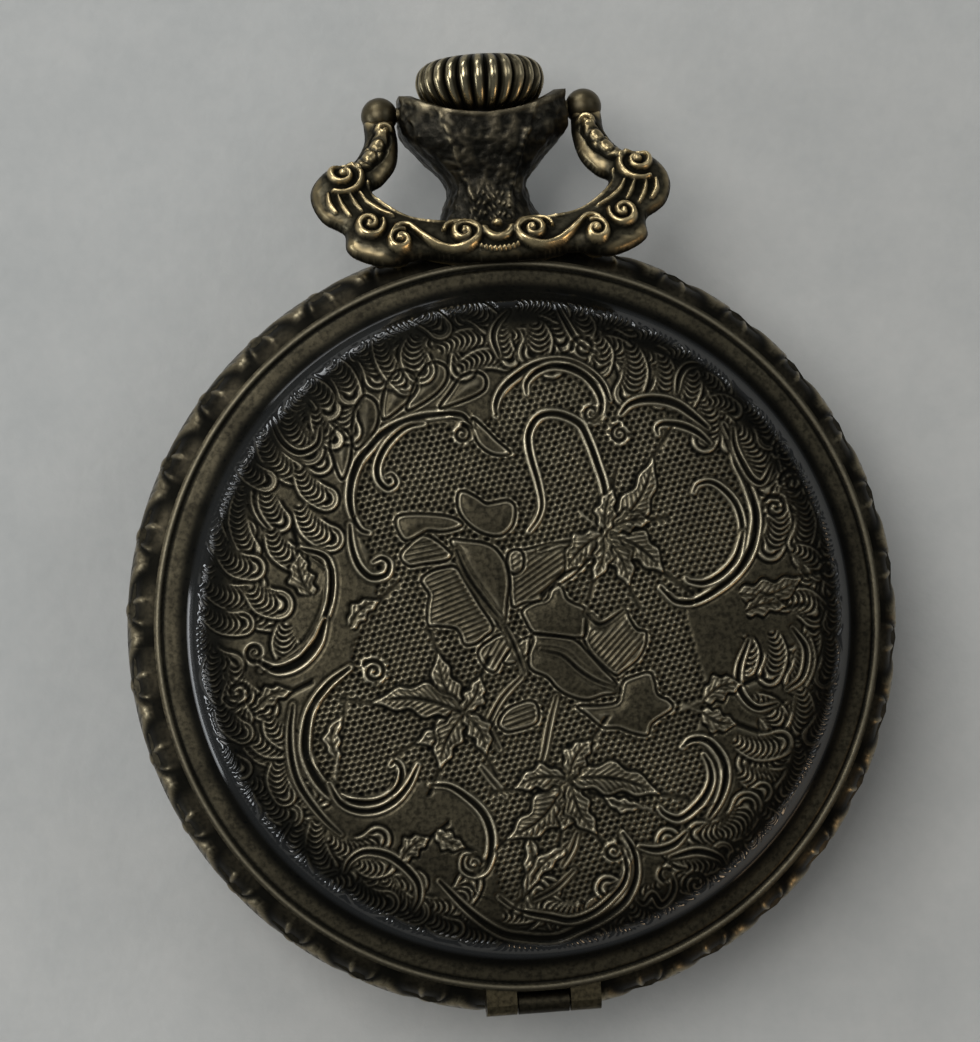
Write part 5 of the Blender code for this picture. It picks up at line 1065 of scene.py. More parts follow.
@dataclass
class EngravedCover:
    """Engraved skin of a cover, laid over its solid in four quarters."""

    name: str
    body: str
    profile: list[Point]
    drawing: Callable[[Relief], None]
    rim: float = 21.56
    plan_reach: float = 21.8
    field_radius: float = 17.0
    ray_step: int = 2
    ray_above: float = 6.0
    solid: bpy.types.Object | None = None
    lift: float = 0.17
    brim_lift: float = 0.10
    brim_foot: float = 0.05
    skirt_drop: float = 0.3
    lid_low: float = 9.8
    back_high: float = 3.2
    flipped: bool = False
    steps: int = field(default_factory=lambda: 306)

    def plan(self) -> tuple[Relief, Field, Field, Field]:
        """Draw the engraving and add it to the cover's curve.

        Returns:
            The plan with its heights, its wear, and a field that joins the patina in the hollows with the
            painted shade of the shoulder ring and brim.
        """
        relief = Relief(self.plan_reach, PLAN_PITCH)
        self.drawing(relief)
        engraved = relief.height()
        crest = engraved - box_blur(engraved, 5, 2)
        curve = smooth_line(self.profile, 24)
        order = np.argsort(curve[:, 0])
        radius = np.hypot(relief.x, relief.y)
        dome = np.interp(radius, curve[order, 0], curve[order, 1])
        lift = self.brim_lift + (self.lift - self.brim_lift) * (1.0 - smooth_step(radius, 19.6, 20.4))
        # Painted shade: ring darkens the sloping shoulder from 13 mm out, fully past 18 mm, standing in for
        # the dark room mirrored there. It keeps a third of that on the brim, where the bow's shadow and dark
        # reflections fall. It also tones down the wear on the shoulder, and the dark field below joins it
        # with the patina in the cut hollows.
        ring = 0.40 * smooth_step(radius, 13.0, 16.5) + 0.60 * smooth_step(radius, 16.6, 18.0)
        ring *= 1.0 - 0.70 * smooth_step(radius, 19.9, 20.5)
        wear = smooth_step(crest, 0.012, 0.080) * (1.0 - 0.66 * ring)
        dirt_and_shade = np.maximum(smooth_step(-crest, 0.004, 0.050), ring * (1.0 - 0.7 * wear))
        return relief, dome + engraved + lift + self.raised(relief, dome), wear, dirt_and_shade

    def raised(self, relief: Relief, dome: Field) -> Field:
        """Measure how far the solid's own raised scrolls stand above the cover's curve.

        Args:
            relief: Plan with the places of its cells.
            dome: Height of the curve at each cell.

        Returns:
            Height of the scrolls, 0 elsewhere.
        """
        rise = np.zeros_like(dome)
        if self.solid is None:
            return rise
        mesh, step = self.solid.data, self.ray_step
        corners = [face.vertices[:] for face in mesh.polygons]
        tree = BVHTree.FromPolygons([vert.co for vert in mesh.vertices], corners)
        down, high = Vector((0.0, 0.0, -1.0)), (self.lid_low + self.ray_above) * MM
        field_cells = np.hypot(relief.x, relief.y)[::step, ::step] < self.field_radius
        for row, column in np.argwhere(field_cells) * step:
            start = Vector((relief.x[row, column] * MM, relief.y[row, column] * MM, high))
            found = tree.ray_cast(start, down)[0]
            if found is not None:
                over = found.z / MM - self.lid_low - dome[row, column]
                rise[row:row + step, column:column + step] = max(0.0, over)
        return box_blur(rise, 1, 1)

    def build(self, palette: Palette, finish: Finish, slot: str) -> None:
        """Make the four quarters and dress them.

        Args:
            palette: Materials.
            finish: Finish of the cover.
            slot: Material slot of the record; not used.
        """
        relief, height, wear, dirt_and_shade = self.plan()
        slope_y, slope_x = np.gradient(height, relief.pitch)
        for index, (sx, sy) in enumerate(((1, 1), (-1, 1), (-1, -1), (1, -1))):
            mesh = self.quarter(sx * sy < 0)
            flat = read_places(mesh)
            u, v = flat[:, 0] + 0.5, flat[:, 1] + 0.5
            reach = np.maximum(u, v)
            small = np.minimum(u, v) / np.maximum(reach, 1e-9)
            turn = np.where(u >= v, 0.25 * np.pi * small, 0.5 * np.pi - 0.25 * np.pi * small)
            x, y = sx * self.rim * reach * np.cos(turn), sy * self.rim * reach * np.sin(turn)
            span, skirt, brim = self.rim * reach, flat[:, 2] < -0.5, reach > 0.999
            fields = [relief.sample(layer, x, y) for layer in (height, slope_x, slope_y, wear, dirt_and_shade)]
            z = np.where(skirt, np.where(brim, self.brim_foot, fields[0] - self.skirt_drop), fields[0])
            normal = np.column_stack([-fields[1], -fields[2], np.ones_like(x)])
            outward = np.column_stack([x, y, np.zeros_like(x)]) / self.rim
            normal = np.where((skirt & brim)[:, None], outward, normal)
            normal /= np.linalg.norm(normal, axis=1)[:, None]
            places = np.column_stack([x, y, z + self.lid_low])
            if self.flipped:
                places = np.column_stack([-x, y, self.back_high - z])
                normal *= np.array([-1.0, 1.0, -1.0])
            write_places(mesh, places * MM)
            write_value(mesh, "wear", np.where(skirt, 0.1, fields[3]))
            # The skirt takes 0.3, the same level of painted shade as the brim.
            write_value(mesh, "dirt_and_shade", np.where(skirt, 0.3, fields[4]))
            gloss = smooth_step(span, 18.5, 19.0) * (1.0 - smooth_step(span, 19.4, 19.75))
            write_value(mesh, "gloss", gloss)
            mesh.normals_split_custom_set_from_vertices(normal.astype(np.float32).tolist())
            add_piece(f"{self.name}_quarter_{index + 1}", mesh, palette.get(finish), self.body)

    def quarter(self, turned: bool) -> bpy.types.Mesh:
        """Make a flat grid with a skirt hanging from its border.

        Args:
            turned: True where the quarter's placing mirrors it.

        Returns:
            The mesh, in the unit square, skirt one unit down.
        """
        bm = bmesh.new()
        bmesh.ops.create_grid(bm, x_segments=self.steps, y_segments=self.steps, size=0.5)
        border = [edge for edge in bm.edges if edge.is_boundary]
        _, lowered = extrude_border(bm, border)
        bmesh.ops.translate(bm, verts=lowered, vec=(0.0, 0.0, -1.0))
        bmesh.ops.recalc_face_normals(bm, faces=bm.faces[:])
        middle = min(bm.faces, key=lambda face: face.calc_center_median().xy.length)
        if (middle.normal.z > 0) == turned:
            bmesh.ops.reverse_faces(bm, faces=bm.faces[:])
        return mesh_from(bm, self.name)


def lay_fronds(relief: Relief, rows: tuple[tuple[int, float, float], ...]) -> None:
    """Cut rings of feathers that run down both sides and curl inwards.

    Args:
        relief: Plan to cut.
        rows: Count, radius and length of the feathers of each ring, from the outside in.
    """
    for row, (count, reach, length) in enumerate(rows):
        for step in range(count):
            turn = 2 * math.pi * (step + 0.5 * row) / count + 0.04 * math.sin(2.3 * step)
            hand = 1 if math.cos(turn) < 0.0 else -1
            out = reach + 0.18 * math.sin(1.7 * step + row)
            start = (out * math.cos(turn - 0.06 * hand), out * math.sin(turn - 0.06 * hand))
            heading = turn + hand * (0.5 * math.pi - 0.10 + 0.16 * math.sin(1.9 * step + 2.0 * row))
            relief.frond(start, heading, length, hand * (1.3 + 0.3 * math.sin(3.1 * step)), 0.68)


def lay_plumes(relief: Relief, sheet: DrawingSheet) -> None:
    """Cut the feathers that fill the room between the scrolls."""
    for start, end, width in PLUMES:
        (x0, y0), (x1, y1) = sheet.place([start, end])
        heading = math.atan2(y1 - y0, x1 - x0)
        hand = 1 if (x1 - x0) * -y0 - (y1 - y0) * -x0 > 0.0 else -1
        length = 1.1 * math.hypot(x1 - x0, y1 - y0)
        relief.frond((x0, y0), heading - 0.35 * hand, length, 0.9 * hand, 0.42 * width * sheet.unit)


def finish_rim(relief: Relief, radius: Field) -> None:
    """Keep the brim plain, with a groove inside its rim.

    Args:
        relief: Plan to finish.
        radius: Distance of its cells from the middle.
    """
    plain = 1.0 - smooth_step(radius, 18.8, 19.15)
    relief.swell *= plain
    relief.ridge = np.maximum(relief.ridge * plain, 0.05 * bell(radius, 21.36, 0.12))
    relief.cut = np.maximum(relief.cut * plain, 0.13 * bell(radius, 21.06, 0.09))


def draw_front(relief: Relief) -> None:
    """Engrave the front lid: flowers, leaves and scrolls on a matted ground, feathers round it."""
    sheet = DrawingSheet()
    field_edge = smooth_line(sheet.place(CARTOUCHE), 6, True)
    area, near, _, _ = relief.trace(np.vstack([field_edge, field_edge[:1]]), 0.5)
    relief.ground[area] = np.where(relief.inside(field_edge, area), smooth_step(near, 0.0, 0.25), 0.0)
    lay_fronds(relief, ((30, 18.85, 3.3), (28, 17.1, 3.2)))
    lay_plumes(relief, sheet)
    for width, points in SCROLLS:
        relief.ribbon(smooth_line(sheet.place(points)), width)
    for dome, hatch, points in LEAVES:
        turned = None if hatch is None else hatch - sheet.turn
        relief.leaf(smooth_line(sheet.place(points), 6, True), dome, turned)
    for points in STEMS:
        relief.ribbon(smooth_line(sheet.place(points)), 0.12, 0.11, 0.035)
    for base, tip, width, bend in LOBES:
        relief.lobe(*sheet.place([base, tip]), width * sheet.unit, bend)
    for centre, radius, start, hand in VOLUTES:
        relief.volute(sheet.place([centre])[0], radius * sheet.unit, 1.6, start, hand)
    relief.stipple()
    finish_rim(relief, np.hypot(relief.x, relief.y))


BACK_SCROLL: list[Point] = [
    (2.2, 8.6), (4.6, 9.6), (7.2, 8.4), (8.8, 5.8), (8.6, 3.2), (6.9, 2.4), (6.0, 3.8), (6.9, 4.8)]
BACK_LEAF: list[Point] = [(5.4, 5.6), (6.8, 6.6), (6.0, 8.0), (4.4, 8.2), (3.8, 7.0), (4.4, 5.8)]
BACK_SHIELD: list[Point] = [
    (0.0, 5.4), (2.6, 4.6), (4.4, 4.8), (4.2, 1.2), (3.0, -2.6), (0.0, -5.6), (-3.0, -2.6), (-4.2, 1.2),
    (-4.4, 4.8), (-2.6, 4.6)]


def draw_back(relief: Relief) -> None:
    """Engrave the back cover: a bare shield on a matted field inside two rings of feathers."""
    radius = np.hypot(relief.x, relief.y)
    relief.ground = 1.0 - smooth_step(radius, 11.2, 11.5)
    lay_fronds(relief, ((32, 18.75, 3.3), (28, 17.1, 3.2), (25, 15.5, 3.0), (21, 13.9, 2.8)))
    for hand in (-1, 1):
        for up in (-1, 1):
            scroll = [(hand * x, up * y) for x, y in BACK_SCROLL]
            relief.ribbon(smooth_line(scroll), 0.34)
            leaf = [(hand * x, up * y) for x, y in BACK_LEAF]
            relief.leaf(smooth_line(leaf, 6, True), 0.08, 45.0 * hand * up)
            relief.volute((hand * 9.4, up * 1.2), 0.9, 1.7, 90.0 * up, -hand * up)
    relief.leaf(smooth_line(BACK_SHIELD, 6, True), 0.05)
    turn = np.linspace(0, 2 * np.pi, 200)
    for ring in (11.6, 12.2):
        relief.line(np.column_stack([ring * np.cos(turn), ring * np.sin(turn)]), 0.12, 0.10, 0.06, False)
    relief.stipple()
    relief.ridge *= 1.0 - smooth_step(-radius, -12.0, -11.6)
    finish_rim(relief, radius)


@dataclass(frozen=True)
class Lamp:
    """An area lamp, with its lengths in metres and its power in watts."""

    name: str
    place: Triple
    sides: Point
    power: float
    tint: Triple
    aim: Triple = (0.0, 0.0, 0.0)

    def hang(self) -> None:
        """Make the lamp and turn it to the point that it faces."""
        lamp = bpy.data.lights.new(self.name, "AREA")
        lamp.shape = "RECTANGLE"
        lamp.size, lamp.size_y = self.sides
        lamp.energy = self.power
        lamp.color = self.tint
        hung = bpy.data.objects.new(self.name, lamp)
        hung.location = self.place
        hung.rotation_euler = (Vector(self.aim) - Vector(self.place)).to_track_quat("-Z", "Y").to_euler()
        bpy.context.scene.collection.objects.link(hung)


LAMPS: tuple[Lamp, ...] = (
    Lamp("ceiling", (-0.36, 0.22, 0.74), (0.50, 0.50), 4.3, (1.0, 0.99, 0.97)),
    Lamp("window", (-0.95, -0.14, 0.28), (0.62, 0.16), 2.6, (0.93, 0.97, 1.0)),
    Lamp("skylight", (-0.36, 0.86, 0.38), (0.62, 0.26), 3.2, (0.95, 0.98, 1.0)),
    Lamp("warm_bounce", (0.24, -0.20, 0.09), (0.10, 0.08), 0.12, (1.0, 0.72, 0.45), (0.01, -0.01, 0.006)),
    Lamp("fill", (0.55, 0.25, 0.62), (0.40, 0.40), 0.7, (0.97, 1.0, 1.02)))


@dataclass
class Studio:
    """Paper floor, soft lamps and the camera at the photograph's place."""

    camera_at: Triple = (-22.4, 2.2, 206.0)
    target: Triple = (-1.035, 6.278, 6.5)
    up: Triple = (0.0627, 0.998, 0.0)
    lens: float = 115.2
    sensor: float = 36.0
    floor_z: float = -0.36
    floor_half: float = 0.6
    room_colour: Triple = (0.92, 1.0, 1.06)
    room_strength: float = 0.16

    def build(self, palette: Palette) -> None:
        """Set the floor, lamps, world and camera."""
        bm = bmesh.new()
        bmesh.ops.create_grid(bm, x_segments=24, y_segments=24, size=self.floor_half)
        bmesh.ops.translate(bm, verts=bm.verts[:], vec=(0.0, 0.0, self.floor_z * MM))
        floor = bpy.data.objects.new("paper_floor", mesh_from(bm, "paper_floor", False))
        floor.data.materials.append(palette.get(Finish.PAPER))
        bpy.context.scene.collection.objects.link(floor)
        for lamp in LAMPS:
            lamp.hang()
        world = bpy.data.worlds.new("soft_room")
        world.use_nodes = True
        background = world.node_tree.nodes["Background"]
        background.inputs["Color"].default_value = colour(*self.room_colour)
        background.inputs["Strength"].default_value = self.room_strength
        bpy.context.scene.world = world
        bpy.context.scene.view_settings.view_transform = "Standard"
        self.camera()

    def camera(self) -> None:
        """Place the camera and make it the scene's own."""
        eye, aim, up = (Vector(value) * MM for value in (self.camera_at, self.target, self.up))
        back = (eye - aim).normalized()
        right = up.cross(back).normalized()
        turn = Matrix((right, back.cross(right), back)).transposed().to_4x4()
        camera = bpy.data.cameras.new("camera")
        camera.lens = self.lens
        camera.sensor_width = camera.sensor_height = self.sensor
        camera.sensor_fit = "AUTO"
        camera.clip_start, camera.clip_end = 0.01, 10.0
        placed = bpy.data.objects.new("camera", camera)
        placed.matrix_world = Matrix.Translation(eye) @ turn
        bpy.context.scene.collection.objects.link(placed)
        bpy.context.scene.camera = placed


@dataclass
class CaseBand:
    """Leaf-and-bead border round the case middle."""

    low: float = 3.42
    high: float = 9.58
    edge: float = 21.62
    bulge: float = 22.80
    knots: int = 32
    wall: float = 0.985
    around: int = field(default_factory=lambda: 1600)
    across: int = field(default_factory=lambda: 52)

    def heights(self, turn: Field, share: Field) -> Field:
        """Work out the border's relief.

        Args:
            turn: Angle round the case.
            share: Place across the band from -1 to 1.

        Returns:
            Height of the relief in millimetres.
        """
        step = (turn * self.knots / (2 * np.pi)) % 1.0 - 0.5
        pitch = 2 * np.pi * self.bulge / self.knots
        side = np.abs(step) * pitch
        rise = share * 0.5 * (self.high - self.low)
        leaf_half = 2.85 * np.sin(np.pi * np.clip(np.abs(step) / 0.5, 0.0, 1.0) * 0.5) ** 0.7
        lean = rise - 0.75 * np.sin(2 * np.pi * step)
        depth = leaf_half - np.abs(lean)
        leaf = 0.30 * smooth_step(depth, 0.0, 0.7)
        vein = np.abs(np.sin(2.9 * (step * pitch * 1.1 + np.abs(lean) * 0.75)))
        leaf -= 0.055 * (depth > 0.25) * (1.0 - smooth_step(vein, 0.0, 0.45))
        leaf -= 0.09 * bell(lean, 0.0, 0.13) * smooth_step(depth, 0.1, 0.4)
        reach = np.hypot(side, rise)
        bead = 0.40 * half_round(reach, 0.62)
        ring = 0.16 * bell(reach, 0.92, 0.13)
        tie = 0.14 * bell(side, 0.25 * np.abs(rise), 0.16) * smooth_step(np.abs(rise), 0.9, 1.3)
        return np.maximum.reduce([leaf, bead, ring, tie])

    def build(self, palette: Palette) -> None:
        """Roll a grid round the case and raise the border on it."""
        bm = bmesh.new()
        bmesh.ops.create_grid(bm, x_segments=self.around, y_segments=self.across, size=0.5)
        mesh = mesh_from(bm, "case_band_border")
        flat = read_places(mesh)
        turn = 2 * np.pi * flat[:, 0]
        share = 2 * flat[:, 1]
        relief = self.heights(turn, share) * (1.0 - smooth_step(np.abs(share), 0.91, 0.99))
        curve = np.sqrt(np.clip(1.0 - np.abs(share) ** 4, 0.0, 1.0))
        radius = self.edge + (self.bulge - self.edge) * curve + relief
        height = 0.5 * (self.low + self.high) + 0.5 * (self.high - self.low) * share
        places = np.column_stack([radius * np.cos(turn), radius * np.sin(turn), height])
        grid = relief.reshape(self.across + 1, self.around + 1)
        crest = (grid - box_blur(grid, 6, 2)).ravel()
        write_places(mesh, places * MM)
        bm = bmesh.new()
        bm.from_mesh(mesh)
        write_layers(bm, np.clip((crest - 0.015) / 0.09, 0.0, 1.0), np.clip((0.02 - crest) / 0.10, 0.0, 1.0))
        bmesh.ops.remove_doubles(bm, verts=bm.verts[:], dist=1e-7)
        rims = [edge for edge in bm.edges if edge.is_boundary]
        _, inner = extrude_border(bm, rims)
        bmesh.ops.scale(bm, verts=inner, vec=(self.wall, self.wall, 1.0))
        bmesh.ops.recalc_face_normals(bm, faces=bm.faces[:])
        outer = max(bm.faces, key=lambda face: face.calc_center_median().x)
        if outer.normal.x < 0:
            bmesh.ops.reverse_faces(bm, faces=bm.faces[:])
        bpy.data.meshes.remove(mesh)
        add_piece("case_band_border", mesh_from(bm, "case_band_border"), palette.get(Finish.BAND), "case")


BOW_OUTER: list[Point] = [
    (0.67, 0.05), (0.68, 0.20), (0.77, 0.34), (0.91, 0.38), (0.99, 0.48), (1.0, 0.59), (0.95, 0.71),
    (0.84, 0.80), (0.83, 0.92), (0.74, 0.99), (0.61, 1.03), (0.49, 1.0), (0.38, 0.99), (0.24, 1.02),
    (0.12, 1.03), (0.0, 1.035)]
BOW_INNER: list[Point] = [
    (0.0, 0.77), (0.27, 0.76), (0.46, 0.72), (0.60, 0.615), (0.66, 0.525), (0.59, 0.47), (0.515, 0.36),
    (0.49, 0.20), (0.50, 0.05)]
BOW_ROLLS: list[tuple[Point, float, float, float, int]] = [
    ((8.80, 4.75), 1.30, 1.5, 60.0, 1), ((7.55, 8.35), 0.90, 1.4, 200.0, -1),
    ((5.78, 9.55), 0.78, 1.3, 250.0, 1), ((2.05, 9.25), 0.80, 1.2, 200.0, 1),
    ((6.10, 1.75), 0.52, 1.0, 200.0, 1)]
BOW_CORDS: list[tuple[float, float, list[Point]]] = [
    (0.27, 0.45, [(6.3, 9.03), (5.89, 8.54), (5.26, 8.5), (4.68, 9.06), (3.93, 9.73), (3.1, 10.16),
                  (2.25, 10.2), (1.53, 9.9), (1.12, 9.31), (1.32, 8.65), (1.9, 8.3), (2.52, 8.32),
                  (3.0, 8.6), (3.2, 8.95)]),
    (0.26, 0.36, [(7.3, 5.2), (6.9, 6.1), (6.25, 6.8), (5.43, 7.3), (4.6, 7.7), (3.82, 7.95), (3.0, 8.0)]),
    (0.18, 0.26, [(7.9, 6.0), (7.5, 6.7), (6.8, 7.3), (6.1, 7.7)]),
    (0.17, 0.24, [(8.5, 6.1), (8.2, 6.8), (7.9, 7.3)]),
    (0.17, 0.24, [(9.2, 6.2), (9.0, 6.9), (8.6, 7.6)]),
    (0.17, 0.24, [(9.8, 6.0), (9.75, 6.7), (9.4, 7.3)])]
BOW_HUSKS: list[tuple[float, float, float, float]] = [
    (6.45, 2.45, 60.0, 0.50), (6.85, 3.15, 55.0, 0.58), (7.35, 3.75, 48.0, 0.50)]
BALL_COLLAR: list[Point] = [
    (0.60, 0.92), (0.74, 0.98), (0.80, 1.10), (0.74, 1.24), (0.56, 1.34), (0.52, 1.60), (0.0, 1.60)]


@dataclass
class Bow:
    """Cast bow: pierced scrollwork on two ball ends, turned on pegs in the pendant."""

    half_width: float = 10.75
    drop: float = 10.4
    pivot: Triple = (0.0, 30.992, 6.5)
    tilt: float = 27.0
    ball_x: float = 6.2
    ball_radius: float = 1.1
    peg_radius: float = 0.45
    peg_end: float = 3.75
    thick: float = 0.92
    shift: float = 5.5
    reach: float = 11.3
    plan_reach: float = 11.6
    cell: float = field(default_factory=lambda: 0.07)

    def outline(self) -> Field:
        """Draw the bow's closed outline, shared with the solid."""
        right = [self.local(x * self.half_width, y * self.drop) for x, y in BOW_OUTER]
        hole = [self.local(x * self.half_width, y * self.drop) for x, y in BOW_INNER]
        rim, bore = smooth_line(right, 8), smooth_line(hole, 8)
        flip = np.array([-1.0, 1.0])
        return np.vstack([rim[:-1], rim[::-1] * flip, bore[::-1] * flip, bore[1:]])

    def local(self, x: float, v: float) -> Point:
        """Put a point of the bow on the plan."""
        return (x, v - self.shift)

    def cord(self, plan: Relief, points: list[Point], width: float, height: float) -> None:
        """Raise a rounded cord on both halves of the bow.

        Args:
            plan: Plan to raise it on.
            points: Points of the right half, across and down from the pivot.
            width: Half width of the cord.
            height: Its height.
        """
        for hand in (-1, 1):
            path = smooth_line([self.local(hand * x, v) for x, v in points])
            area, near, along, _ = plan.trace(path, width + 0.1)
            half = width * (0.55 + 0.45 * np.sin(np.pi * np.clip(along, 0.0, 1.0)))
            plan.raise_ridge(area, height * half_round(near, half))

    def roll(self, plan: Relief, centre: Point, radius: float, turns: float, start: float, hand: int) -> None:
        """Raise a rolled scroll end with a pearl in its eye, on both halves.

        Args:
            plan: Plan to raise it on.
            centre: Middle of the roll on the right half.
            radius: Outer radius.
            turns: Number of turns.
            start: Angle of the outer end in degrees.
            hand: 1 to roll anticlockwise, -1 clockwise.
        """
        t = np.linspace(0.0, 1.0, 40)
        turn = math.radians(start) + hand * 2 * math.pi * turns * t
        reach = radius * (1.0 - 0.78 * t)
        across, down = centre[0] + reach * np.cos(turn), centre[1] + reach * np.sin(turn)
        self.cord(plan, list(zip(across, down)), 0.24, 0.40)
        for side in (-1, 1):
            x, y = self.local(side * centre[0], centre[1])
            gap = np.hypot(plan.x - x, plan.y - y)
            plan.swell += 0.22 * (1.0 - smooth_step(gap, 0.2 * radius, 1.35 * radius))
            plan.ridge = np.maximum(plan.ridge, 0.45 * half_round(gap, 0.24 * radius))

    def plan(self) -> tuple[Relief, Field, Field]:
        """Model the casting's height over its plan.

        Returns:
            The plan, its half thickness and its depth inside the outline.
        """
        plan = Relief(self.plan_reach, PLAN_PITCH)
        edge = self.outline()
        area, near, _, _ = plan.trace(np.vstack([edge, edge[:1]]), 3.0)
        depth = np.zeros_like(plan.x)
        depth[area] = np.where(plan.inside(edge, area), np.minimum(near, 3.0), -near)
        for roll in BOW_ROLLS:
            self.roll(plan, *roll)
        for width, height, points in BOW_CORDS:
            self.cord(plan, points, width, height)
        for husk in BOW_HUSKS:
            self.husk(plan, *husk)
        self.crest(plan)
        ripple = np.sin(5.1 * plan.x + 3.0 * np.sin(2.3 * plan.y))
        rough = 0.015 * ripple * np.sin(6.3 * plan.y + 2.0 * plan.x)
        body = self.thick * half_round(1.0 - np.clip(depth / 1.05, 0.0, 1.0), 1.0)
        fade = smooth_step(depth, 0.05, 0.40)
        return plan, body * 0.86 + fade * (plan.swell + plan.ridge - plan.cut + rough), depth

    def husk(self, plan: Relief, x: float, v: float, turn: float, size: float) -> None:
        """Raise an oval husk lobe with a dark lip on both arms.

        Args:
            plan: Plan to raise it on.
            x: Place across on the right arm.
            v: Place down from the pivot.
            turn: Angle of its long side in degrees.
            size: Half length of its short side.
        """
        for hand in (-1, 1):
            cx, cy = self.local(hand * x, v)
            angle = math.radians(turn) * hand
            dx, dy = plan.x - cx, plan.y - cy
            along = dx * math.cos(angle) + dy * math.sin(angle)
            side = dy * math.cos(angle) - dx * math.sin(angle)
            gap = np.hypot(along / (1.45 * size), side / size)
            plan.ridge = np.maximum(plan.ridge, 0.36 * half_round(gap, 1.0))
            plan.cut = np.maximum(plan.cut, 0.16 * bell(gap, 1.15, 0.14))

    def crest(self, plan: Relief) -> None:
        """Raise the crest: a pearl over a crescent, a beaded lower edge and a granulated palmette."""
        x, y = self.local(0.0, 8.55)
        gap = np.hypot(plan.x - x, plan.y - y)
        plan.ridge = np.maximum(plan.ridge, 0.50 * half_round(gap, 0.34))
        ring = np.hypot(plan.x, plan.y - self.local(0.0, 8.75)[1])
        low = smooth_step(plan.y - self.local(0.0, 8.6)[1], 0.0, 0.35)
        plan.ridge = np.maximum(plan.ridge, 0.40 * low * half_round(ring - 0.86, 0.30))
        for step in range(-7, 8):
            bx, by = self.local(0.27 * step, 10.28 - 0.012 * step * step)
            grain = np.hypot(plan.x - bx, plan.y - by)
            plan.ridge = np.maximum(plan.ridge, 0.30 * half_round(grain, 0.125))

    def build(self, palette: Palette) -> None:
        """Cut the plan out of a grid, raise it, mirror it and hang it on its balls."""
        plan, height, depth = self.plan()
        crest = height - box_blur(height, 6, 2)
        edge = self.outline()
        bm = bmesh.new()
        across = int(2 * self.reach / self.cell)
        bmesh.ops.create_grid(bm, x_segments=across, y_segments=across, size=self.reach)
        bm.verts.ensure_lookup_table()
        flat = np.array([vert.co[:2] for vert in bm.verts])
        inside = plan.sample(depth, *flat.T) > 0.35 * self.cell
        doomed = [vert for vert, held in zip(bm.verts, inside) if not held]
        bmesh.ops.delete(bm, geom=doomed, context="VERTS")
        loose = [vert for vert in bm.verts if not vert.link_faces]
        bmesh.ops.delete(bm, geom=loose, context="VERTS")
        for vert in bm.verts:
            if vert.is_boundary:
                gap = np.hypot(edge[:, 0] - vert.co.x, edge[:, 1] - vert.co.y)
                vert.co.x, vert.co.y = edge[int(np.argmin(gap))]
        flat = np.array([vert.co[:2] for vert in bm.verts])
        for vert, value in zip(bm.verts, plan.sample(height, *flat.T)):
            vert.co.z = 0.0 if vert.is_boundary else max(0.03, value)
        bmesh.ops.mirror(bm, geom=bm.verts[:] + bm.edges[:] + bm.faces[:], axis="Z", merge_dist=1e-4)
        bmesh.ops.recalc_face_normals(bm, faces=bm.faces[:])
        mesh = mesh_from(bm, "bow_casting")
        local = read_places(mesh)
        proud = plan.sample(crest, local[:, 0], local[:, 1])
        write_value(mesh, "wear", (proud - 0.035) / 0.16)
        write_value(mesh, "dirt_and_shade", (0.02 - proud) / 0.11)
        local[:, 1] += self.shift
        write_places(mesh, self.placed(local) * MM)
        add_piece("bow_casting", mesh, palette.get(Finish.CAST), "bow", ("bow",))
        self.balls(palette)

    def placed(self, local: Field) -> Field:
        """Tip bow points (across, down, thick) into the watch's frame, in millimetres."""
        turn = math.radians(180.0 - self.tilt)
        y = local[:, 1] * math.cos(turn) - local[:, 2] * math.sin(turn)
        z = local[:, 1] * math.sin(turn) + local[:, 2] * math.cos(turn)
        return np.column_stack([local[:, 0], y, z]) + np.array(self.pivot)

    def balls(self, palette: Palette) -> None:
        """Spin the two ball ends with their collars and pegs."""
        for name, hand in (("left", -1), ("right", 1)):
            bm = bmesh.new()
            turn = np.linspace(-0.5 * np.pi, 0.33 * np.pi, 22)
            shape = [(self.ball_radius * math.cos(t), self.ball_radius * math.sin(t)) for t in turn]
            shape[0] = (0.0, -self.ball_radius)
            section = [(r, v, 0.0) for r, v in shape + BALL_COLLAR]
            spin_section(bm, section, (0.0, 1.0, 0.0), 40)
            bmesh.ops.remove_doubles(bm, verts=bm.verts[:], dist=1e-5)
            length = self.ball_x - self.peg_end
            peg = bmesh.ops.create_cone(bm, cap_ends=True, segments=24, radius1=self.peg_radius,
                                        radius2=self.peg_radius, depth=length)
            bmesh.ops.rotate(bm, verts=peg["verts"], matrix=Matrix.Rotation(math.radians(90), 3, "Y"))
            bmesh.ops.translate(bm, verts=peg["verts"], vec=(-hand * 0.5 * length, 0.0, 0.0))
            bmesh.ops.recalc_face_normals(bm, faces=bm.faces[:])
            bmesh.ops.translate(bm, verts=bm.verts[:], vec=(hand * self.ball_x, 0.0, 0.0))
            mesh = mesh_from(bm, f"bow_ball_{name}")
            local = read_places(mesh)
            write_value(mesh, "wear", 0.05 * (local[:, 1] < 0.3) + 0.05)
            write_value(mesh, "dirt_and_shade", bell(local[:, 1], 0.93, 0.09))
            write_places(mesh, self.placed(local) * MM)
            add_piece(f"bow_ball_{name}", mesh, palette.get(Finish.CAST), "bow")


CROWN_UNDERSIDE: list[Point] = [
    (0.0, 0.02), (0.30, 0.0), (0.58, 0.0), (0.76, 0.08), (0.90, 0.25), (0.985, 0.45), (1.0, 0.60)]
CROWN_TOP: list[Point] = [(0.95, 0.78), (0.82, 0.90), (0.62, 0.955), (0.30, 0.985), (0.0, 1.0)]


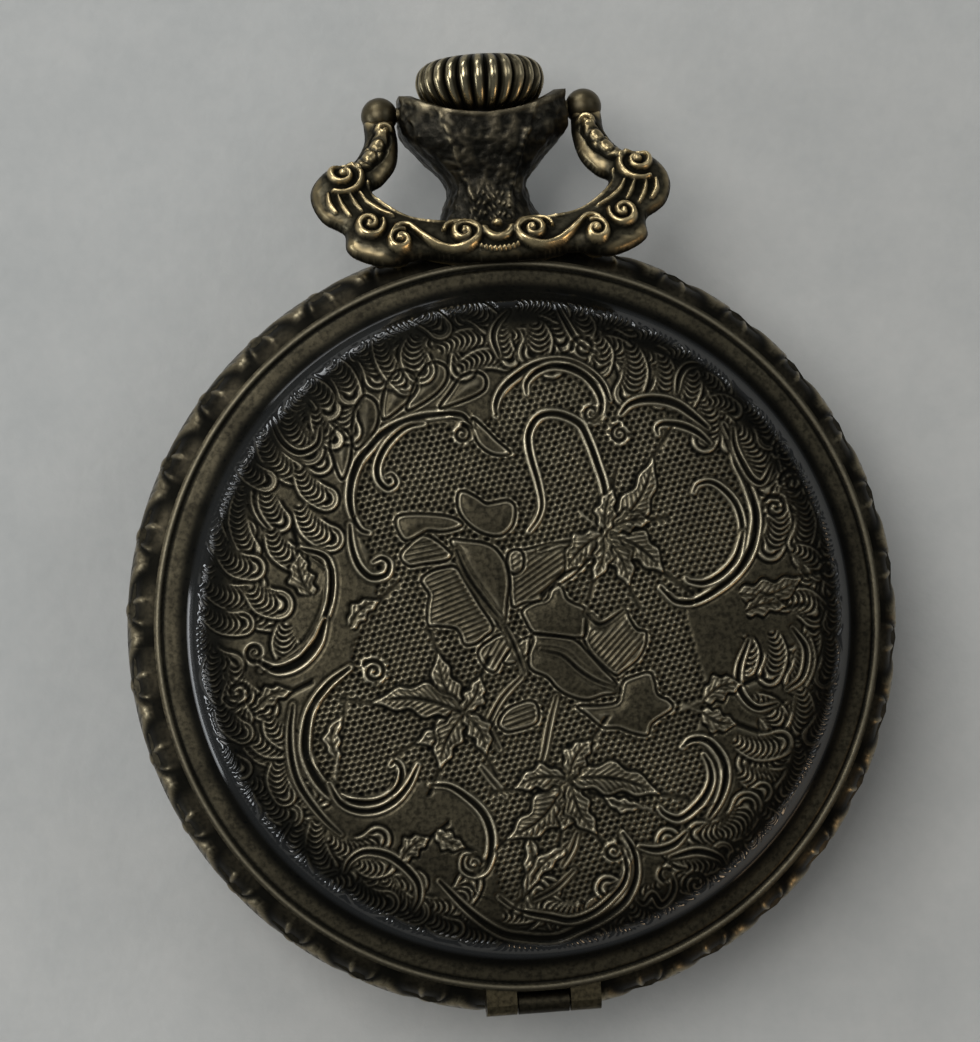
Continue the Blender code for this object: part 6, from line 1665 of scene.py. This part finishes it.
@dataclass
class Crown:
    """Onion crown with rounded ribs."""

    low_y: float = 30.792
    axis_z: float = 6.5
    radius: float = 3.9
    height: float = 3.5
    push: float = 0.4
    ribs: int = 26
    rib_depth: float = 0.46
    steps: int = field(default_factory=lambda: 624)

    def build(self, palette: Palette) -> None:
        """Spin the crown's section and press the ribs into it."""
        shares = CROWN_UNDERSIDE + CROWN_TOP
        section = smooth_line([(r * self.radius, h * self.height) for r, h in shares], 7)
        bm = bmesh.new()
        spin_section(bm, [(max(0.0, r), 0.0, h) for r, h in section], (0.0, 0.0, 1.0), self.steps)
        bmesh.ops.remove_doubles(bm, verts=bm.verts[:], dist=1e-5)
        bmesh.ops.recalc_face_normals(bm, faces=bm.faces[:])
        mesh = mesh_from(bm, "ribbed_crown")
        local = read_places(mesh)
        reach = np.hypot(local[:, 0], local[:, 1])
        rib = np.abs(np.cos(0.5 * self.ribs * np.arctan2(local[:, 1], local[:, 0]))) ** 0.55
        held = smooth_step(reach, 0.55 * self.radius, 0.78 * self.radius)
        local[:, :2] *= (1.0 - self.rib_depth * (1.0 - rib) * held / np.maximum(reach, 1e-6))[:, None]
        write_value(mesh, "wear", held * smooth_step(rib, 0.80, 0.99) * 0.75 + 0.05)
        write_value(mesh, "dirt_and_shade", held * (1.0 - smooth_step(rib, 0.35, 0.88)))
        places = np.column_stack([local[:, 0], local[:, 2] + self.low_y, self.axis_z - local[:, 1]])
        write_places(mesh, places * MM)
        add_piece("ribbed_crown", mesh, palette.get(Finish.CROWN), "crown_and_stem",
                  ("crown",))


PENDANT_STATIONS: list[Triple] = [
    (-1.3, 3.1, 2.6), (1.0, 3.1, 2.6), (2.0, 2.72, 2.38), (3.2, 2.35, 2.27), (3.95, 2.62, 2.32),
    (4.95, 3.6, 2.55), (6.1, 4.95, 2.82), (7.4, 5.0, 2.88), (8.0, 5.0, 2.9)]
PENDANT_TOP: list[Point] = [(0.86, 0.0), (0.93, 0.6), (0.84, 0.8), (0.69, 0.2), (0.06, 1.0)]


@dataclass
class Pendant:
    """Hammered pendant: trumpet neck, saddle top, ridged front panel and granulated foot."""

    case_radius: float = 22.992
    saddle_y: float = 30.592
    ear: float = 5.0
    ear_rise: float = 1.4
    waist: float = 3.2
    crown_gap: float = 0.12
    axis_z: float = 6.5
    around: int = field(default_factory=lambda: 288)
    rows: int = field(default_factory=lambda: 150)

    def section(self, count: int) -> Field:
        """Draw the twelve-sided section with softened corners.

        Args:
            count: Points round it.

        Returns:
            Points for a half width and half depth of 1.
        """
        quarter = [(1.0, 0.40), (0.80, 0.78), (0.42, 1.0)]
        front = quarter + [(-x, z) for x, z in reversed(quarter)]
        corners = np.array(front + [(-x, -z) for x, z in front])
        loop = np.vstack([corners, corners[:1]])
        lengths = np.concatenate([[0.0], np.cumsum(np.hypot(*np.diff(loop, axis=0).T))])
        spots = np.linspace(0.0, lengths[-1], count, endpoint=False)
        ring = np.column_stack([np.interp(spots, lengths, loop[:, 0]), np.interp(spots, lengths, loop[:, 1])])
        for _ in range(max(1, count // 60)):
            ring = 0.25 * np.roll(ring, 1, 0) + 0.5 * ring + 0.25 * np.roll(ring, -1, 0)
        return ring

    def surface(self, flat: Field) -> tuple[Field, Field, Field]:
        """Roll flat points into the hammered trumpet.

        Args:
            flat: Points of the unit square, round the pendant and up it.

        Returns:
            Places in millimetres, with the wear and dirt at each.
        """
        curve = smooth_line([(rise, width) for rise, width, _ in PENDANT_STATIONS], 12)
        deep = smooth_line([(rise, depth) for rise, _, depth in PENDANT_STATIONS], 12)
        foot_at, top_at = PENDANT_STATIONS[0][0], PENDANT_STATIONS[-1][0]
        ring = np.vstack([self.section(self.around), self.section(self.around)[:1]])
        spot = np.clip(np.rint((flat[:, 0] + 0.5) * self.around).astype(int), 0, self.around)
        share = flat[:, 1] + 0.5
        rise = foot_at + (top_at - foot_at) * share
        x = ring[spot, 0] * np.interp(rise, curve[:, 0], curve[:, 1])
        z = ring[spot, 1] * np.interp(rise, deep[:, 0], deep[:, 1])
        saddle = (self.ear ** 2 + self.ear_rise ** 2) / (2 * self.ear_rise)
        lip = self.saddle_y + saddle - np.sqrt(np.clip(saddle ** 2 - x ** 2, 0.0, None)) - self.case_radius
        above = (rise - self.waist) * (lip - self.waist) / (top_at - self.waist)
        y = np.where(rise > self.waist, self.waist + above, rise)
        panel = 1.05 + 0.34 * np.clip(y - 2.6, 0.0, 6.0)
        ridge = bell(np.abs(x), panel, 0.17) * (z > 0) * smooth_step(y, 1.6, 2.4)
        rim = smooth_step(share, 0.955, 0.985)
        spots = [Vector(at) for at in zip(x, y, z)]
        hammer = np.array([1.6 * noise.noise(1.1 * at) + 1.1 * noise.noise(2.9 * at) for at in spots])
        grains = np.clip(np.sin(11.0 * x) * np.sin(10.0 * y + 2.0 * np.sin(5.0 * x)), 0.0, 1.0)
        foot = (z > 0) * (1.0 - smooth_step(y, 2.2, 3.6)) * (1.0 - smooth_step(np.abs(x), 0.9, 1.5))
        lift = 0.15 * ridge + 0.06 * rim + 0.06 * hammer * (1.0 - rim) + 0.16 * foot * grains
        grown = 1 + lift / np.maximum(np.hypot(x, z), 1e-6)
        bright = ridge * np.clip(0.35 + hammer, 0.0, 0.8) + 0.5 * rim + 0.8 * foot * grains
        bright += 0.2 * np.clip(hammer, 0.0, 1.0)
        dark = 0.5 * np.clip(-hammer, 0.0, 1.0) + 0.4 * foot * (1.0 - grains)
        places = np.column_stack([x * grown, y + self.case_radius, self.axis_z + z * grown])
        return places, bright, dark

    def build(self, palette: Palette) -> None:
        """Roll a grid into the trumpet, hammer it and close its top."""
        bm = bmesh.new()
        bmesh.ops.create_grid(bm, x_segments=self.around, y_segments=self.rows, size=0.5)
        places, bright, dark = self.surface(np.array([vert.co[:2] for vert in bm.verts]))
        write_layers(bm, bright, dark)
        for vert, place in zip(bm.verts, places):
            vert.co = place * MM
        bmesh.ops.remove_doubles(bm, verts=bm.verts[:], dist=1e-8)
        self.close_top(bm)
        bmesh.ops.recalc_face_normals(bm, faces=bm.faces[:])
        self.make_room(bm, Crown())
        add_piece("hammered_pendant", mesh_from(bm, "hammered_pendant"), palette.get(Finish.PENDANT), "case",
                  ("pendant",))

    def close_top(self, bm: bmesh.types.BMesh) -> None:
        """Draw the upper border in, step by step, and fill what is left."""
        middle, axis = self.case_radius * MM + 0.004, self.axis_z * MM
        top = [edge for edge in bm.edges if edge.is_boundary and edge.verts[0].co.y > middle]
        for factor, sink in PENDANT_TOP:
            top, fresh = extrude_border(bm, top)
            for vert in fresh:
                vert.co.x *= factor
                vert.co.z = axis + (vert.co.z - axis) * factor
                vert.co.y -= sink * MM
        bmesh.ops.holes_fill(bm, edges=top, sides=0)

    def make_room(self, bm: bmesh.types.BMesh, crown: Crown) -> None:
        """Dish the pendant's top so that the crown can be pushed in.

        Args:
            bm: Mesh of the pendant in metres.
            crown: The crown above it.
        """
        reach, rise = np.array(CROWN_UNDERSIDE).T
        for vert in bm.verts:
            away = math.hypot(vert.co.x, vert.co.z - self.axis_z * MM) / MM
            if away < crown.radius and vert.co.y > (crown.low_y - 2.0) * MM:
                under = crown.height * float(np.interp(away / crown.radius, reach, rise))
                vert.co.y = min(vert.co.y, (crown.low_y + under - crown.push - self.crown_gap) * MM)


@dataclass
class DialPrint:
    """Printing of the dial: minute track, Roman hours and a small seconds circle."""

    top: float = 8.5
    thick: float = 0.03
    sunk: float = 0.01
    track: Point = (14.1, 15.0)
    hours_at: float = 11.9
    hour_size: float = 3.1
    seconds_y: float = -8.6
    seconds_track: float = 3.3
    hours: tuple[str, ...] = ("XII", "I", "II", "III", "IIII", "V", "", "VII", "VIII", "IX", "X", "XI")

    def build(self, palette: Palette) -> None:
        """Print both tracks and the hours as one thin layer on the enamel."""
        bm = bmesh.new()
        for inner in self.track:
            self.ring(bm, 0.0, inner, inner + 0.08)
        self.ring(bm, self.seconds_y, self.seconds_track, self.seconds_track + 0.07)
        for step in range(60):
            whole = step % 5 == 0
            self.tick(bm, 0.0, step, self.track, 0.26 if whole else 0.09)
            reach = (2.55 if whole else 2.9, self.seconds_track)
            self.tick(bm, self.seconds_y, step, reach, 0.09 if whole else 0.05)
        for index, words in enumerate(self.hours):
            if words:
                self.numeral(bm, words, math.radians(90.0 - 30.0 * index))
        bmesh.ops.recalc_face_normals(bm, faces=bm.faces[:])
        bmesh.ops.scale(bm, verts=bm.verts[:], vec=(MM, MM, MM))
        add_piece("dial_print", mesh_from(bm, "dial_print", False), palette.get(Finish.INK), "case")

    def middle(self) -> float:
        """Give the height of the middle of the print, a little sunk into the enamel."""
        return self.top + 0.5 * (self.thick - self.sunk)

    def ring(self, bm: bmesh.types.BMesh, middle: float, inner: float, outer: float) -> None:
        """Print a thin circle.

        Args:
            bm: Mesh to add it to.
            middle: Place of its centre along Y.
            inner: Inner radius.
            outer: Outer radius.
        """
        low, high = self.top - self.sunk, self.top + self.thick
        section = [(r, middle, z) for r, z in ((inner, low), (outer, low), (outer, high), (inner, high))]
        spin_section(bm, section, (0.0, 0.0, 1.0), 120, (0.0, middle, 0.0), closed=True)

    def tick(self, bm: bmesh.types.BMesh, middle: float, step: int, reach: Point, width: float) -> None:
        """Print one bar of a track.

        Args:
            bm: Mesh to add it to.
            middle: Place of the track's centre along Y.
            step: Which of the sixty bars.
            reach: Its inner and outer ends.
            width: Its width.
        """
        place = (0.5 * (reach[0] + reach[1]), 0.0, self.middle())
        size = (reach[1] - reach[0], width, self.thick + self.sunk, 1.0)
        turn = Matrix.Translation((0.0, middle, 0.0)) @ Matrix.Rotation(math.radians(6.0 * step), 4, "Z")
        bmesh.ops.create_cube(bm, size=1.0, matrix=turn @ Matrix.Translation(place) @ Matrix.Diagonal(size))

    def numeral(self, bm: bmesh.types.BMesh, words: str, turn: float) -> None:
        """Print one hour, upright from the centre.

        Args:
            bm: Mesh to add it to.
            words: The hour in Roman numerals.
            turn: Its angle round the dial.
        """
        curve = bpy.data.curves.new("hour", "FONT")
        curve.body, curve.size, curve.align_x, curve.align_y = words, self.hour_size, "CENTER", "CENTER"
        curve.extrude = 0.5 * self.thick
        curve.resolution_u = 3
        holder = bpy.data.objects.new("hour", curve)
        mesh = bpy.data.meshes.new_from_object(holder)
        bpy.data.objects.remove(holder)
        bpy.data.curves.remove(curve)
        spot = (self.hours_at * math.cos(turn), self.hours_at * math.sin(turn), self.middle())
        narrow = Matrix.Diagonal((0.78, 1.0, 1.0, 1.0))
        mesh.transform(Matrix.Translation(spot) @ Matrix.Rotation(turn - 0.5 * math.pi, 4, "Z") @ narrow)
        bm.from_mesh(mesh)
        bpy.data.meshes.remove(mesh)


NODE_FINISHES: dict[Finish, tuple[str, ...]] = {
    Finish.BAND: ("case_band", "front_hinge_pin", "back_hinge_pin"),
    Finish.LINING: ("front_lid", "back_cover"),
    Finish.INNER: ("bezel",),
    Finish.PENDANT: ("pendant",),
    Finish.CROWN: ("crown",),
    Finish.CAST: ("bow",),
    Finish.GLASS: ("crystal",),
    Finish.ENAMEL: ("dial",),
    Finish.GILT: ("mainplate", "barrel_bridge", "train_bridge", "balance_cock", "pallet_cock"),
    Finish.WHEEL: ("barrel_drum", "barrel_cover", "centre_wheel", "third_wheel", "fourth_wheel",
                   "balance_wheel", "minute_wheel", "hour_wheel", "setting_wheel"),
    Finish.STEEL: ("lid_spring", "lock_spring", "winding_stem", "barrel_arbor", "mainspring", "escape_wheel",
                   "pallet_fork", "regulator", "winding_pinion", "sliding_clutch", "crown_wheel",
                   "ratchet_wheel", "click", "click_spring", "setting_lever", "yoke", "cannon_pinion"),
    Finish.BLUED: ("case_screw_1", "case_screw_2", "barrel_bridge_screw_1", "barrel_bridge_screw_2",
                   "train_bridge_screw_1", "train_bridge_screw_2", "balance_cock_screw", "pallet_cock_screw",
                   "hairspring", "hour_hand", "minute_hand", "seconds_hand")}


@dataclass
class SolidDressing:
    """Finishes for the solids that stay in sight, with soft shading on their round faces."""

    sharp_angle: float = 34.0

    def soften(self) -> bpy.types.NodeTree:
        """Build the modifier that joins a solid's loose triangles and shades its round faces smooth."""
        group = bpy.data.node_groups.new("soft_shading", "GeometryNodeTree")
        group.interface.new_socket(name="Geometry", in_out="INPUT", socket_type="NodeSocketGeometry")
        group.interface.new_socket(name="Geometry", in_out="OUTPUT", socket_type="NodeSocketGeometry")
        nodes, links = group.nodes, group.links
        start, end = nodes.new("NodeGroupInput"), nodes.new("NodeGroupOutput")
        merge = nodes.new("GeometryNodeMergeByDistance")
        merge.inputs["Distance"].default_value = 1e-7
        faces = nodes.new("GeometryNodeSetShadeSmooth")
        angle = nodes.new("GeometryNodeInputMeshEdgeAngle")
        sharp = nodes.new("FunctionNodeCompare")
        sharp.operation = "GREATER_THAN"
        sharp.inputs[1].default_value = math.radians(self.sharp_angle)
        edges = nodes.new("GeometryNodeSetShadeSmooth")
        edges.domain = "EDGE"
        edges.inputs["Shade Smooth"].default_value = False
        links.new(start.outputs[0], merge.inputs["Geometry"])
        links.new(merge.outputs["Geometry"], faces.inputs["Geometry"])
        links.new(angle.outputs["Unsigned Angle"], sharp.inputs[0])
        links.new(sharp.outputs[0], edges.inputs["Selection"])
        links.new(faces.outputs["Geometry"], edges.inputs["Geometry"])
        links.new(edges.outputs["Geometry"], end.inputs[0])
        return group

    def dress(self, nodes: dict[str, bpy.types.Object], palette: Palette) -> None:
        """Give every solid its finish.

        Args:
            nodes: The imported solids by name.
            palette: Materials.
        """
        group = self.soften()
        for finish, names in NODE_FINISHES.items():
            for name in names:
                solid = nodes[name]
                solid.data.materials.clear()
                solid.data.materials.append(palette.get(finish))
                modifier = solid.modifiers.new("soft_shading", "NODES")
                modifier.node_group = group
                LOG.info("%s dressed in %s", name, finish.value.name)


def main() -> None:
    """Load the frame and build every sub-assembly in order."""
    logging.basicConfig(level=logging.INFO, format="%(message)s")
    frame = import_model()
    palette = Palette()
    Studio().build(palette)
    SolidDressing().dress(frame["nodes"], palette)
    front = EngravedCover("front_lid_skin", "front_lid", FRONT_CURVE, draw_front)
    front.solid = frame["nodes"]["front_lid"]
    front.build(palette, Finish.LID, "antique_bronze")
    back = EngravedCover("back_cover_skin", "back_cover", BACK_CURVE, draw_back, lift=0.15, flipped=True)
    back.build(palette, Finish.LID, "antique_bronze")
    CaseBand().build(palette)
    Bow().build(palette)
    Crown().build(palette)
    Pendant().build(palette)
    DialPrint().build(palette)


if __name__ == "__main__":
    main()
